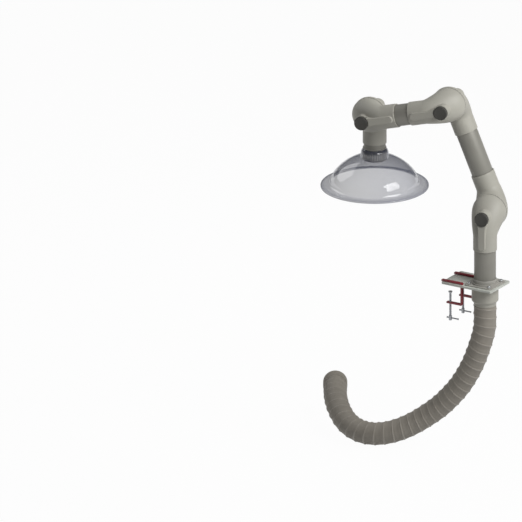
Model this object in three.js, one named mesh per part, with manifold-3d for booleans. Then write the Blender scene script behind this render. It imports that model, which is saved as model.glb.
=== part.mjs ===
// Fume extraction arm that clamps to a bench edge: bracket, swivel riser, two-part elbow joints, dome hood, hose.
// Millimetres, +Z up. The origin is the middle of the bracket's seat on the bench; the arm reaches towards -X.

import * as THREE from 'three';
import { mergeVertices } from 'three/addons/utils/BufferGeometryUtils.js';
import Module from 'manifold-3d';

const wasm = await Module();
wasm.setup();

// Clearances
const GAP = 0.3; // between pieces that seat, slide or turn on each other
const KNOB_GAP = 1.2; // round a knob where the rib passes it
const SLOT_GAP = 0.6; // round a clamp's web in the plate

// Facets
const ROUND = 20; // sides of the main round forms
const SMALL_ROUND = 12; // sides of small round pieces
const DOME_ROUND = 36; // sides of the dome
const DOME_STEPS = 7; // steps along the dome's arc
const BEND_STEPS = 5; // steps round an elbow's bend

// Tubes
const TUBE_RADIUS = 37.5;
const TUBE_WALL = 2;

// Pose of the arm, as it stands at rest
const SWIVEL_YAW = 13.65; // degrees that the arm is turned on its base
const SHOULDER_HEIGHT = 252; // joint axis over the bench
const LOWER_ARM = 399; // from joint axis to joint axis
const LOWER_LEAN = 21.6; // degrees from upright
const UPPER_ARM = 292;
const UPPER_DROP = 13.3; // degrees below level

// Elbow halves
const JOINT_OFFSET = 57; // tube axis from the seal's middle plane
const DISC_RADIUS = 60;
const RIM_HEIGHT = 8; // straight rim next to the seal
const RIM_WALL = 8;
const SOCKET_WALL = 3.5; // round the tube in a socket
const SOCKET_REACH = 122; // socket mouth from the joint axis
const SOCKET_DEPTH = 45; // length of tube held in a socket
const CROTCH_RADIUS = 9; // inside of the bend
const BEND_POWER = 1.28; // flattens the outside of the bend towards a cone
const BOSS_RADIUS = 24;
const BOSS_PROUD = 3; // boss and rib over the face of the socket
const BOSS_STEP = 13; // front boss below the back boss, for the knob
const BOSS_ROOT = 40;
const RIB_HALF_WIDTH = 12.5;
const RIB_WAIST = 46; // where the rib has narrowed from the boss to its own width
const RIB_REACH = 114;

// Seal and tension bolt of a joint
const SEAL_THICKNESS = 3;
const SEAL_INSET = 0.8;
const SEAL_WIDTH = 7;
const BOLT_RADIUS = 5;
const BOLT_INSET = 6; // end of the bolt below the knob's face
const HEAD_RADIUS = 10.5;
const HEAD_HEIGHT = 7;
const HEAD_DEPTH = 17; // seat of the bolt head below the back boss
const CAP_RADIUS = 16;
const CAP_THICKNESS = 7;
const CAP_CHAMFER = 1.5;
const WASHER_RADIUS = 22;
const WASHER_THICKNESS = 2;
const KNOB_RADIUS = 24;
const KNOB_PROUD = 3; // outer face over the rib
const KNOB_CHAMFER = 2;

// Bracket plate and swivel base; lengths along X are measured from the riser axis
const RISER_X = 105; // riser axis from the origin
const PLATE_BACK = 136; // end that lies on the bench
const PLATE_FRONT = 61;
const PLATE_WIDTH = 130;
const PLATE_THICKNESS = 7;
const PLATE_CORNER = 5;
const FLANGE_SIDE = 108;
const FLANGE_CORNER = 14;
const FLANGE_THICKNESS = 3;
const HUB_WIDTH = 5; // raised ring round the bush
const HUB_HEIGHT = 5;
const HUB_CHAMFER = 1.5;
const BUSH_WALL = 2.5; // round the riser tube
const BUSH_TOP = 27; // over the bench
const BOLT_PITCH = 80; // flange bolts, square pattern
const FLANGE_BOLT_RADIUS = 3;
const FLANGE_HEAD_RADIUS = 6;
const FLANGE_HEAD_HEIGHT = 6;
const FLANGE_HEAD_CHAMFER = 0.8;

// Hose adapter, hose and cuff
const ADAPTER_STEP = 11; // shoulder of the adapter outside its stub
const ADAPTER_SHOULDER = 52; // depth below the bench top where the cone starts
const ADAPTER_CONE = 8;
const ADAPTER_LENGTH = 70;
const ADAPTER_WALL = 4;
const SPIGOT_INSET = 2.5; // stub of the adapter in the plate, inside the riser tube's radius
const HOSE_RADIUS = 38.6; // between the ribs
const HOSE_BORE = 36.6;
const RIB_CREST = 40.6;
const RIB_PITCH = 31;
const RIB_FOOT_LENGTH = 9;
const RIB_TOP_LENGTH = 4;
const HOSE_SIDES = 10;
const HOSE_SAMPLES = 600;
const CUFF_RADIUS = 41.5;
const CUFF_LENGTH = 45;
const CUFF_CHAMFER = 2;

// Middle line of the hose, from the riser axis at bench height; the last stretch points along CUFF_AIM
const HOSE_ROUTE = [
  [0, 0, -70.3], [0, 0, -112], [-1, 0, -148], [-8, -2, -186], [-22, -5, -233], [-42, -6, -285], [-67, -7, -334],
  [-96, -10, -381], [-130, -16, -424], [-167, -24, -464], [-208, -37, -499], [-250, -56, -530], [-294, -80, -554],
  [-342, -101, -570], [-394, -112, -577], [-447, -108, -574], [-497, -92, -560], [-540, -64, -539], [-574, -30, -522],
  [-602, 8, -512], [-622, 41, -509], [-642, 74, -509],
];
const CUFF_AIM = [-0.515, 0.857, 0];

// Clamps
const BENCH_THICKNESS = 25; // bench top that the clamps are set for
const CLAMP_PLACES = { front: -52, rear: 32 }; // across the plate
const STRIP_WIDTH = 12;
const STRIP_THICKNESS = 6;
const STRIP_BEND = 5; // outer radius of the strip's bends
const CLAMP_WEB = 58; // outer side of the web, from the riser axis
const CLAMP_UPPER_END = 140;
const CLAMP_LOWER_END = 120;
const CLAMP_DEPTH = 69; // underside of the lower jaw below the bench top
const SPINDLE_PLACE = 107;
const SPINDLE_RADIUS = 4;
const SPINDLE_TIP_RADIUS = 2.6;
const SPINDLE_FOOT_TOP = 113;
const SPINDLE_FOOT_RADIUS = 5.5;
const SPINDLE_LENGTH = 130; // bottom of the foot below the bench top
const PAD_RADIUS = 7;
const PAD_THICKNESS = 5;
const PAD_SOCKET_DEPTH = 3;
const BAR_RADIUS = 2.4;
const BAR_LENGTH = 47;
const BAR_SHIFT = 9; // the bar hangs off-centre
const BEAD_RADIUS = 3.2;
const BEAD_LENGTH = 3;

// Hood; heights are over the rim plane
const RIM_RADIUS = 185.5;
const LIP_DEPTH = 3;
const LIP_ROUND = 3;
const BRIM_INNER = 152; // where the brim meets the dome's wall
const DOME_RADIUS = 175.8;
const DOME_CENTRE = 64; // sphere's middle below the rim plane
const DOME_WALL = 2.4;
const DOME_FOOT = 142; // radius where the dome's arc starts, over its wall
const NECK_HEIGHT = 135;
const NECK_STANDOFF = 19; // wrist socket over the top of the neck
const NECK_FLARE = 12.5; // foot of the neck outside the neck tube
const COLLAR_FLARE = 9.5; // bulge of the neck outside the neck tube
const COLLAR_DROP = 10; // that bulge below the top of the neck
const NECK_BEAD = 3; // bead on the neck tube, over the tube
const NECK_BEAD_HEIGHT = 4;
const NUT_DROP = 9; // top of the nut below the top of the neck
const NUT_HEIGHT = 31;
const NUT_WALL = 3.5; // round the neck tube
const NUT_FLUTE_DEPTH = 1.2;
const NUT_FLUTES = 30;
const NUT_LIP = 1.5; // lip over the flutes
const NUT_LIP_HEIGHT = 4;
const GASKET_HEIGHT = 4;

// Sizes that follow from the ones above
const socketRadius = TUBE_RADIUS + SOCKET_WALL;
const backBoss = JOINT_OFFSET + socketRadius + BOSS_PROUD;
const frontBoss = backBoss - BOSS_STEP;
const knobFace = backBoss + KNOB_PROUD;
const boltEnd = knobFace - BOLT_INSET;
const headSeat = backBoss - HEAD_DEPTH;
const bushRadius = TUBE_RADIUS + BUSH_WALL;
const hubRadius = bushRadius + HUB_WIDTH;
const spigotRadius = TUBE_RADIUS - SPIGOT_INSET;
const adapterRadius = spigotRadius + ADAPTER_STEP;
const neckFootRadius = TUBE_RADIUS + NECK_FLARE;
const collarRadius = TUBE_RADIUS + COLLAR_FLARE;
const collarHeight = NECK_HEIGHT - COLLAR_DROP;
const nutTop = NECK_HEIGHT - NUT_DROP;
const nutBottom = nutTop - NUT_HEIGHT;
const nutRadius = TUBE_RADIUS + NUT_WALL;
const hoodDrop = NECK_HEIGHT + NECK_STANDOFF + SOCKET_REACH;

// Finishes
const finish = (color, roughness, metalness = 0) => new THREE.MeshStandardMaterial({ color, roughness, metalness });
const MOULDED_GREY = finish(0xb4b1a6, 0.5);
const TUBE_GREY = finish(0x8b8983, 0.42, 0.35);
const HOSE_GREY = finish(0x6f6c64, 0.7);
const KNOB_GREY = finish(0x403f3c, 0.55);
const SEAL_GREY = finish(0xd5d3cb, 0.6);
const CLAMP_RED = finish(0x8e1226, 0.4);
const PLATE_PALE = finish(0xc9ccc8, 0.35, 0.6);
const STEEL = finish(0x9a9da0, 0.3, 1);
const BRIGHT_STEEL = finish(0xc8cacc, 0.2, 1);
const RUBBER = finish(0x2a2a2a, 0.8);
const CLEAR_PLASTIC = new THREE.MeshStandardMaterial({
  color: 0xc3c6cc, roughness: 0.08, metalness: 0, transparent: true, opacity: 0.4,
});

// Geometry helpers

function cleaned(geometry) {
  const bare = geometry.clone();
  bare.deleteAttribute('normal');
  bare.deleteAttribute('uv');
  const merged = mergeVertices(bare, 1e-4);
  const index = merged.index.array;
  const kept = [];
  for (let i = 0; i < index.length; i += 3) {
    const [a, b, c] = [index[i], index[i + 1], index[i + 2]];
    if (a !== b && b !== c && c !== a) kept.push(a, b, c);
  }
  merged.setIndex(kept);
  return merged;
}

function toSolid(geometry) {
  const shape = cleaned(geometry);
  return new wasm.Manifold(new wasm.Mesh({
    numProp: 3,
    vertProperties: new Float32Array(shape.attributes.position.array),
    triVerts: new Uint32Array(shape.index.array),
  }));
}

function toGeometry(solid) {
  const mesh = solid.getMesh();
  const geometry = new THREE.BufferGeometry();
  geometry.setAttribute('position', new THREE.BufferAttribute(mesh.vertProperties, 3));
  geometry.setIndex(new THREE.BufferAttribute(mesh.triVerts, 1));
  geometry.computeVertexNormals();
  return geometry;
}

function joined(base, extras, cuts = []) {
  let solid = toSolid(base);
  for (const extra of extras) solid = solid.add(toSolid(extra));
  for (const cut of cuts) solid = solid.subtract(toSolid(cut));
  return toGeometry(solid);
}

// A profile of [radius, height] pairs turned round Z; it runs up the outside, and closes on itself or on the axis
function turned(profile, sides = ROUND) {
  const points = profile.map(([radius, height]) => new THREE.Vector2(radius, height));
  if (profile[0][0] > 0) points.push(points[0].clone());
  return cleaned(new THREE.LatheGeometry(points, sides).rotateX(Math.PI / 2));
}

const rod = (radius, bottom, top, sides = SMALL_ROUND) =>
  turned([[0, bottom], [radius, bottom], [radius, top], [0, top]], sides);

// Radius of a faceted hole that clears what turns in it
const around = (radius, sides = SMALL_ROUND) => (radius + GAP) / Math.cos(Math.PI / sides);

const ring = (inner, outer, bottom, top, sides = ROUND) =>
  turned([[outer, bottom], [outer, top], [inner, top], [inner, bottom]], sides);

function raised(shape, bottom, top, curveSegments = SMALL_ROUND / 4) {
  const geometry = new THREE.ExtrudeGeometry(shape, { depth: top - bottom, bevelEnabled: false, curveSegments });
  return geometry.translate(0, 0, bottom);
}

function roundedRectangle(left, bottom, right, top, radius) {
  const shape = new THREE.Shape();
  shape.absarc(right - radius, bottom + radius, radius, -Math.PI / 2, 0);
  shape.absarc(right - radius, top - radius, radius, 0, Math.PI / 2);
  shape.absarc(left + radius, top - radius, radius, Math.PI / 2, Math.PI);
  shape.absarc(left + radius, bottom + radius, radius, Math.PI, Math.PI * 1.5);
  return shape;
}

// A closed skin over rings of equally many points, with flat ends
function lofted(rings) {
  const sides = rings[0].length;
  const positions = rings.flat().flatMap((point) => [point.x, point.y, point.z]);
  const faces = [];
  for (let level = 0; level + 1 < rings.length; level += 1) {
    for (let side = 0; side < sides; side += 1) {
      const next = (side + 1) % sides;
      const [a, b] = [level * sides + side, level * sides + next];
      const [c, d] = [a + sides, b + sides];
      faces.push(a, b, d, a, d, c);
    }
  }
  const last = (rings.length - 1) * sides;
  for (let side = 1; side + 1 < sides; side += 1) {
    faces.push(0, side + 1, side, last, last + side, last + side + 1);
  }
  const geometry = new THREE.BufferGeometry();
  geometry.setAttribute('position', new THREE.Float32BufferAttribute(positions, 3));
  geometry.setIndex(faces);
  return geometry;
}

function mesh(parent, name, geometry, material) {
  const piece = new THREE.Mesh(geometry, material);
  piece.name = name;
  parent.add(piece);
  return piece;
}

// Elbow half. Its Z is the joint axis with the seal's middle plane at 0, and its tube runs along -Y at JOINT_OFFSET

const socketStop = SOCKET_REACH - SOCKET_DEPTH;
const throatRadius = TUBE_RADIUS - TUBE_WALL;
const halfStart = SEAL_THICKNESS / 2 + GAP;

// One ring of the bend: an ellipse between a point on its inside and one on its outside
function bendRing(inside, outside, halfWidth, sides) {
  const middle = inside.clone().add(outside).multiplyScalar(0.5);
  const reach = outside.clone().sub(middle);
  return Array.from({ length: sides }, (_, i) => {
    const turn = (i / sides) * Math.PI * 2;
    return middle.clone().addScaledVector(reach, Math.sin(turn)).setX(halfWidth * Math.cos(turn));
  });
}

// Rings from the disc opening round the bend to the start of the socket, for an outer or an inner skin
function bendRings(discRadius, tubeRadius, sides) {
  const crotchY = -(DISC_RADIUS + CROTCH_RADIUS);
  const insideReach = -discRadius - crotchY;
  const outsideReach = discRadius - crotchY;
  const insideRise = JOINT_OFFSET - tubeRadius - RIM_HEIGHT;
  const outsideRise = JOINT_OFFSET + tubeRadius - RIM_HEIGHT;
  return Array.from({ length: BEND_STEPS + 1 }, (_, step) => {
    const turn = (step / BEND_STEPS) * (Math.PI / 2);
    const [along, up] = [Math.max(Math.cos(turn), 0), Math.sin(turn)];
    const inside = new THREE.Vector3(0, crotchY + insideReach * along, RIM_HEIGHT + insideRise * up);
    const outside = new THREE.Vector3(
      0,
      crotchY + outsideReach * along ** BEND_POWER,
      RIM_HEIGHT + outsideRise * up ** BEND_POWER,
    );
    const halfWidth = tubeRadius + (discRadius - tubeRadius) * along ** BEND_POWER;
    return bendRing(inside, outside, halfWidth, sides);
  });
}

const discRing = (radius, height, sides) =>
  bendRing(new THREE.Vector3(0, -radius, height), new THREE.Vector3(0, radius, height), radius, sides);

const socketRing = (radius, reach, sides) => bendRing(
  new THREE.Vector3(0, -reach, JOINT_OFFSET - radius),
  new THREE.Vector3(0, -reach, JOINT_OFFSET + radius),
  radius,
  sides,
);

function elbowSkin() {
  return lofted([
    discRing(DISC_RADIUS, halfStart, ROUND),
    ...bendRings(DISC_RADIUS, socketRadius, ROUND),
    socketRing(socketRadius, SOCKET_REACH, ROUND),
  ]);
}

function elbowHollow() {
  const boreRadius = TUBE_RADIUS + GAP;
  return lofted([
    discRing(DISC_RADIUS - RIM_WALL, -GAP, ROUND),
    ...bendRings(DISC_RADIUS - RIM_WALL, throatRadius, ROUND),
    socketRing(throatRadius, socketStop, ROUND),
    socketRing(boreRadius, socketStop, ROUND),
    socketRing(boreRadius, SOCKET_REACH + GAP, ROUND),
  ]);
}

// Teardrop rib from the boss down the face of the socket
function ribShape() {
  const tip = RIB_REACH - RIB_HALF_WIDTH;
  const shape = new THREE.Shape();
  shape.moveTo(-BOSS_RADIUS, 0);
  shape.quadraticCurveTo(-RIB_HALF_WIDTH, -RIB_WAIST / 2, -RIB_HALF_WIDTH, -RIB_WAIST);
  shape.lineTo(-RIB_HALF_WIDTH, -tip);
  shape.absarc(0, -tip, RIB_HALF_WIDTH, Math.PI, Math.PI * 2);
  shape.lineTo(RIB_HALF_WIDTH, -RIB_WAIST);
  shape.quadraticCurveTo(RIB_HALF_WIDTH, -RIB_WAIST / 2, BOSS_RADIUS, 0);
  return shape;
}

function elbowHalf(bossHeight, cuts) {
  const boss = rod(BOSS_RADIUS, BOSS_ROOT, bossHeight, ROUND);
  const rib = raised(ribShape(), BOSS_ROOT, backBoss);
  const boltHole = rod(around(BOLT_RADIUS), BOSS_ROOT, knobFace);
  return joined(elbowSkin(), [boss, rib], [elbowHollow(), boltHole, ...cuts]);
}

const frontElbow = () => elbowHalf(frontBoss, [rod(KNOB_RADIUS + KNOB_GAP, frontBoss, knobFace, ROUND)]);

const backElbow = () => elbowHalf(backBoss, [
  rod(HEAD_RADIUS + GAP, headSeat, knobFace, 6),
  rod(around(CAP_RADIUS, ROUND), backBoss - CAP_THICKNESS, knobFace, ROUND),
]);

const sealRing = () => ring(
  DISC_RADIUS - SEAL_INSET - SEAL_WIDTH,
  DISC_RADIUS - SEAL_INSET,
  -SEAL_THICKNESS / 2,
  SEAL_THICKNESS / 2,
);

function tensionBolt() {
  const seat = headSeat + GAP;
  const head = rod(HEAD_RADIUS, seat, seat + HEAD_HEIGHT, 6);
  return joined(rod(BOLT_RADIUS, -boltEnd, seat + HEAD_HEIGHT / 2), [head]);
}

function boltCap() {
  const bottom = backBoss - CAP_THICKNESS + GAP;
  return turned([
    [0, bottom],
    [CAP_RADIUS, bottom],
    [CAP_RADIUS, backBoss - CAP_CHAMFER],
    [CAP_RADIUS - CAP_CHAMFER, backBoss],
    [0, backBoss],
  ]);
}

const washerBottom = frontBoss + GAP;
const washer = () =>
  ring(around(BOLT_RADIUS, ROUND), WASHER_RADIUS, washerBottom, washerBottom + WASHER_THICKNESS);

function knob() {
  const bottom = washerBottom + WASHER_THICKNESS + GAP;
  const threadRadius = around(BOLT_RADIUS, ROUND);
  const threadEnd = boltEnd + GAP;
  return turned([
    [threadRadius, bottom],
    [KNOB_RADIUS, bottom],
    [KNOB_RADIUS, knobFace - KNOB_CHAMFER],
    [KNOB_RADIUS - KNOB_CHAMFER, knobFace],
    [0, knobFace],
    [0, threadEnd],
    [threadRadius, threadEnd],
    [threadRadius, bottom],
  ]);
}

// A tube in an elbow half's frame, between two distances from the joint axis
function tubeFrom(start, end) {
  return ring(TUBE_RADIUS - TUBE_WALL, TUBE_RADIUS, start, end)
    .rotateX(Math.PI / 2)
    .translate(0, 0, JOINT_OFFSET);
}

// Base: bracket plate, swivel flange, bush, bolts, hose adapter

const flangeTop = PLATE_THICKNESS + FLANGE_THICKNESS;
const boltPlaces = [[-1, -1], [1, -1], [1, 1], [-1, 1]].map(([x, y]) => [(x * BOLT_PITCH) / 2, (y * BOLT_PITCH) / 2]);

const boltHoles = () => boltPlaces.map(([x, y]) =>
  rod(around(FLANGE_BOLT_RADIUS), -GAP, flangeTop + GAP).translate(x, y, 0));

function bracketPlate() {
  const outline = roundedRectangle(-PLATE_BACK, -PLATE_WIDTH / 2, PLATE_FRONT, PLATE_WIDTH / 2, PLATE_CORNER);
  const slotStart = -CLAMP_WEB - STRIP_THICKNESS - SLOT_GAP;
  const slotEnd = -CLAMP_WEB + SLOT_GAP;
  const slotHalf = STRIP_WIDTH / 2 + SLOT_GAP;
  for (const place of Object.values(CLAMP_PLACES)) {
    outline.holes.push(new THREE.Path()
      .moveTo(slotStart, place - slotHalf)
      .lineTo(slotStart, place + slotHalf)
      .lineTo(slotEnd, place + slotHalf)
      .lineTo(slotEnd, place - slotHalf)
      .closePath());
  }
  const plate = raised(outline, 0, PLATE_THICKNESS);
  const duct = rod(around(spigotRadius, ROUND), -GAP, PLATE_THICKNESS + GAP, ROUND);
  return joined(plate, [], [duct, ...boltHoles()]);
}

function swivelFlange() {
  const half = FLANGE_SIDE / 2;
  const hubTop = flangeTop + HUB_HEIGHT;
  const plate = raised(
    roundedRectangle(-half, -half, half, half, FLANGE_CORNER),
    PLATE_THICKNESS + GAP,
    flangeTop,
    ROUND / 4,
  );
  const hub = turned([
    [0, PLATE_THICKNESS + FLANGE_THICKNESS / 2],
    [hubRadius, PLATE_THICKNESS + FLANGE_THICKNESS / 2],
    [hubRadius, hubTop - HUB_CHAMFER],
    [hubRadius - HUB_CHAMFER, hubTop],
    [0, hubTop],
  ]);
  const bushHole = rod(around(bushRadius, ROUND), 0, hubTop + GAP, ROUND);
  return joined(plate, [hub], [bushHole, ...boltHoles()]);
}

const bushBore = around(TUBE_RADIUS, ROUND);
const swivelBush = () => turned([
  [bushRadius, PLATE_THICKNESS + GAP],
  [bushRadius, BUSH_TOP - HUB_CHAMFER],
  [bushRadius - HUB_CHAMFER, BUSH_TOP],
  [bushBore, BUSH_TOP],
  [bushBore, PLATE_THICKNESS + GAP],
]);

function flangeBolt() {
  const seat = flangeTop + GAP;
  const top = seat + FLANGE_HEAD_HEIGHT;
  return turned([
    [0, 0],
    [FLANGE_BOLT_RADIUS, 0],
    [FLANGE_BOLT_RADIUS, seat],
    [FLANGE_HEAD_RADIUS, seat],
    [FLANGE_HEAD_RADIUS, top - FLANGE_HEAD_CHAMFER],
    [FLANGE_HEAD_RADIUS - FLANGE_HEAD_CHAMFER, top],
    [0, top],
  ], SMALL_ROUND);
}

function hoseAdapter() {
  const bore = spigotRadius - ADAPTER_WALL;
  return turned([
    [HOSE_RADIUS, -ADAPTER_LENGTH],
    [HOSE_RADIUS, -ADAPTER_SHOULDER - ADAPTER_CONE],
    [adapterRadius, -ADAPTER_SHOULDER],
    [adapterRadius, -GAP],
    [spigotRadius, -GAP],
    [spigotRadius, PLATE_THICKNESS],
    [bore, PLATE_THICKNESS],
    [bore, -ADAPTER_SHOULDER],
    [HOSE_BORE, -ADAPTER_SHOULDER - ADAPTER_CONE],
    [HOSE_BORE, -ADAPTER_LENGTH],
  ]);
}

// Hose: ribbed outside and smooth bore, joined at both ends

function hose() {
  const curve = new THREE.CatmullRomCurve3(HOSE_ROUTE.map((point) => new THREE.Vector3(...point)));
  curve.arcLengthDivisions = HOSE_SAMPLES;
  const length = curve.getLength();
  const frames = curve.computeFrenetFrames(HOSE_SAMPLES);
  const ringAt = (distance, radius) => {
    const share = distance / length;
    const middle = curve.getPointAt(share);
    const step = Math.round(share * HOSE_SAMPLES);
    return Array.from({ length: HOSE_SIDES }, (_, i) => {
      const turn = (i / HOSE_SIDES) * Math.PI * 2;
      return middle.clone()
        .addScaledVector(frames.normals[step], radius * Math.cos(turn))
        .addScaledVector(frames.binormals[step], radius * Math.sin(turn));
    });
  };
  const count = Math.floor(length / RIB_PITCH);
  const ribs = Array.from({ length: count }, (_, i) => (length * (i + 0.5)) / count);
  const outside = ribs.flatMap((place) => [
    ringAt(place - RIB_FOOT_LENGTH / 2, HOSE_RADIUS),
    ringAt(place - RIB_TOP_LENGTH / 2, RIB_CREST),
    ringAt(place + RIB_TOP_LENGTH / 2, RIB_CREST),
    ringAt(place + RIB_FOOT_LENGTH / 2, HOSE_RADIUS),
  ]);
  const bore = ribs.map((place) => ringAt(place, HOSE_BORE)).reverse();
  const loop = [
    ringAt(0, HOSE_RADIUS),
    ...outside,
    ringAt(length, HOSE_RADIUS),
    ringAt(length, HOSE_BORE),
    ...bore,
    ringAt(0, HOSE_BORE),
  ];
  return closedLoop(loop);
}

// Skin over rings that come back to the first one
function closedLoop(rings) {
  const sides = rings[0].length;
  const faces = [];
  rings.forEach((_, level) => {
    const after = (level + 1) % rings.length;
    for (let side = 0; side < sides; side += 1) {
      const next = (side + 1) % sides;
      const [a, b] = [level * sides + side, level * sides + next];
      const [c, d] = [after * sides + side, after * sides + next];
      faces.push(a, b, d, a, d, c);
    }
  });
  const geometry = new THREE.BufferGeometry();
  const positions = rings.flat().flatMap((point) => [point.x, point.y, point.z]);
  geometry.setAttribute('position', new THREE.Float32BufferAttribute(positions, 3));
  geometry.setIndex(faces);
  return geometry;
}

const hoseCuff = () => turned([
  [CUFF_RADIUS, GAP],
  [CUFF_RADIUS, CUFF_LENGTH - CUFF_CHAMFER],
  [CUFF_RADIUS - CUFF_CHAMFER, CUFF_LENGTH],
  [HOSE_BORE, CUFF_LENGTH],
  [HOSE_BORE, GAP],
]);

// Clamps: bent strip frame, spindle, pad and tommy bar

function clampFrame() {
  const top = PLATE_THICKNESS + GAP + STRIP_THICKNESS;
  const web = -CLAMP_WEB;
  const inner = web - STRIP_THICKNESS;
  const shape = new THREE.Shape();
  shape.moveTo(-CLAMP_UPPER_END, top - STRIP_THICKNESS);
  shape.lineTo(inner, top - STRIP_THICKNESS);
  shape.lineTo(inner, -CLAMP_DEPTH + STRIP_THICKNESS);
  shape.lineTo(-CLAMP_LOWER_END, -CLAMP_DEPTH + STRIP_THICKNESS);
  shape.lineTo(-CLAMP_LOWER_END, -CLAMP_DEPTH);
  shape.absarc(web - STRIP_BEND, -CLAMP_DEPTH + STRIP_BEND, STRIP_BEND, -Math.PI / 2, 0);
  shape.absarc(web - STRIP_BEND, top - STRIP_BEND, STRIP_BEND, 0, Math.PI / 2);
  shape.lineTo(-CLAMP_UPPER_END, top);
  const strip = raised(shape, -STRIP_WIDTH / 2, STRIP_WIDTH / 2).rotateX(Math.PI / 2);
  const hole = rod(around(SPINDLE_RADIUS), -CLAMP_DEPTH - GAP, -CLAMP_DEPTH + STRIP_THICKNESS + GAP);
  return joined(strip, [], [hole.translate(-SPINDLE_PLACE, 0, 0)]);
}

const padBottom = -BENCH_THICKNESS - PAD_THICKNESS;

function clampPad() {
  const socketTop = padBottom + PAD_SOCKET_DEPTH;
  const socketRadius = around(SPINDLE_TIP_RADIUS);
  return turned([
    [socketRadius, padBottom],
    [PAD_RADIUS, padBottom],
    [PAD_RADIUS, -BENCH_THICKNESS],
    [0, -BENCH_THICKNESS],
    [0, socketTop],
    [socketRadius, socketTop],
    [socketRadius, padBottom],
  ], SMALL_ROUND);
}

const barHeight = -(SPINDLE_FOOT_TOP + SPINDLE_LENGTH) / 2;
const barAlongX = (geometry) => geometry.rotateY(Math.PI / 2).translate(0, 0, barHeight);

function clampSpindle() {
  const body = turned([
    [0, -SPINDLE_LENGTH],
    [SPINDLE_FOOT_RADIUS, -SPINDLE_LENGTH],
    [SPINDLE_FOOT_RADIUS, -SPINDLE_FOOT_TOP],
    [SPINDLE_RADIUS, -SPINDLE_FOOT_TOP],
    [SPINDLE_RADIUS, padBottom - GAP],
    [SPINDLE_TIP_RADIUS, padBottom - GAP],
    [SPINDLE_TIP_RADIUS, padBottom + PAD_SOCKET_DEPTH - GAP],
    [0, padBottom + PAD_SOCKET_DEPTH - GAP],
  ], SMALL_ROUND);
  return joined(body, [], [barAlongX(rod(around(BAR_RADIUS), -BAR_LENGTH, BAR_LENGTH))]);
}

function tommyBar() {
  const [left, right] = [BAR_SHIFT - BAR_LENGTH / 2, BAR_SHIFT + BAR_LENGTH / 2];
  return barAlongX(turned([
    [0, left],
    [BEAD_RADIUS, left],
    [BEAD_RADIUS, left + BEAD_LENGTH],
    [BAR_RADIUS, left + BEAD_LENGTH],
    [BAR_RADIUS, right - BEAD_LENGTH],
    [BEAD_RADIUS, right - BEAD_LENGTH],
    [BEAD_RADIUS, right],
    [0, right],
  ], SMALL_ROUND / 2));
}

// Hood: dome with brim and conical neck, neck tube with its bead, gasket and fluted nut

const neckRadius = TUBE_RADIUS + GAP;
const innerSphere = DOME_RADIUS - DOME_WALL;
const neckFootInner = neckFootRadius - DOME_WALL;
const collarInner = collarRadius - DOME_WALL;
const neckInnerAt = (height) => neckRadius + ((collarInner - neckRadius) * (NECK_HEIGHT - height)) / COLLAR_DROP;

// Points up the dome's arc, from its foot to the neck
function domeArc(sphere, footRadius, neckFoot) {
  const [first, last] = [Math.acos(footRadius / sphere), Math.acos(neckFoot / sphere)];
  return Array.from({ length: DOME_STEPS + 1 }, (_, i) => {
    const turn = first + ((last - first) * i) / DOME_STEPS;
    return [sphere * Math.cos(turn), sphere * Math.sin(turn) - DOME_CENTRE];
  });
}

function domeHood() {
  const inside = domeArc(innerSphere, DOME_FOOT - DOME_WALL, neckFootInner).reverse();
  return turned([
    [RIM_RADIUS, -LIP_DEPTH],
    [RIM_RADIUS, DOME_WALL - LIP_ROUND],
    [RIM_RADIUS - LIP_ROUND, DOME_WALL],
    [BRIM_INNER, DOME_WALL],
    ...domeArc(DOME_RADIUS, DOME_FOOT, neckFootRadius),
    [collarRadius, collarHeight],
    [neckRadius + DOME_WALL, NECK_HEIGHT],
    [neckRadius, NECK_HEIGHT],
    [collarInner, collarHeight],
    ...inside,
    [BRIM_INNER - DOME_WALL, 0],
    [RIM_RADIUS - DOME_WALL - LIP_ROUND, 0],
    [RIM_RADIUS - DOME_WALL, -LIP_DEPTH],
  ], DOME_ROUND);
}

function hoodNeckTube() {
  const bead = NECK_HEIGHT + GAP;
  return turned([
    [TUBE_RADIUS, nutBottom],
    [TUBE_RADIUS, bead],
    [TUBE_RADIUS + NECK_BEAD, bead],
    [TUBE_RADIUS + NECK_BEAD, bead + NECK_BEAD_HEIGHT],
    [TUBE_RADIUS, bead + NECK_BEAD_HEIGHT],
    [TUBE_RADIUS, hoodDrop - socketStop - GAP],
    [throatRadius, hoodDrop - socketStop - GAP],
    [throatRadius, nutBottom],
  ]);
}

function hoodGasket() {
  const bottom = nutTop + GAP;
  const top = bottom + GASKET_HEIGHT;
  return turned([
    [neckInnerAt(bottom) - GAP, bottom],
    [neckInnerAt(top) - GAP, top],
    [neckRadius, top],
    [neckRadius, bottom],
  ]);
}

function hoodNut() {
  const shape = new THREE.Shape();
  for (let i = 0; i < NUT_FLUTES * 2; i += 1) {
    const radius = nutRadius - (i % 2) * NUT_FLUTE_DEPTH;
    const turn = (i / (NUT_FLUTES * 2)) * Math.PI * 2;
    shape.lineTo(radius * Math.cos(turn), radius * Math.sin(turn));
  }
  const fluted = raised(shape, nutBottom + NUT_LIP_HEIGHT / 2, nutTop);
  const lip = rod(nutRadius + NUT_LIP, nutBottom, nutBottom + NUT_LIP_HEIGHT, ROUND);
  const bore = rod(around(TUBE_RADIUS, ROUND), nutBottom - GAP, nutTop + GAP, ROUND);
  return joined(lip, [fluted], [bore]);
}

// Assembly

const fumeArm = new THREE.Group();

const base = new THREE.Group();
base.position.x = RISER_X;
fumeArm.add(base);

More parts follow.
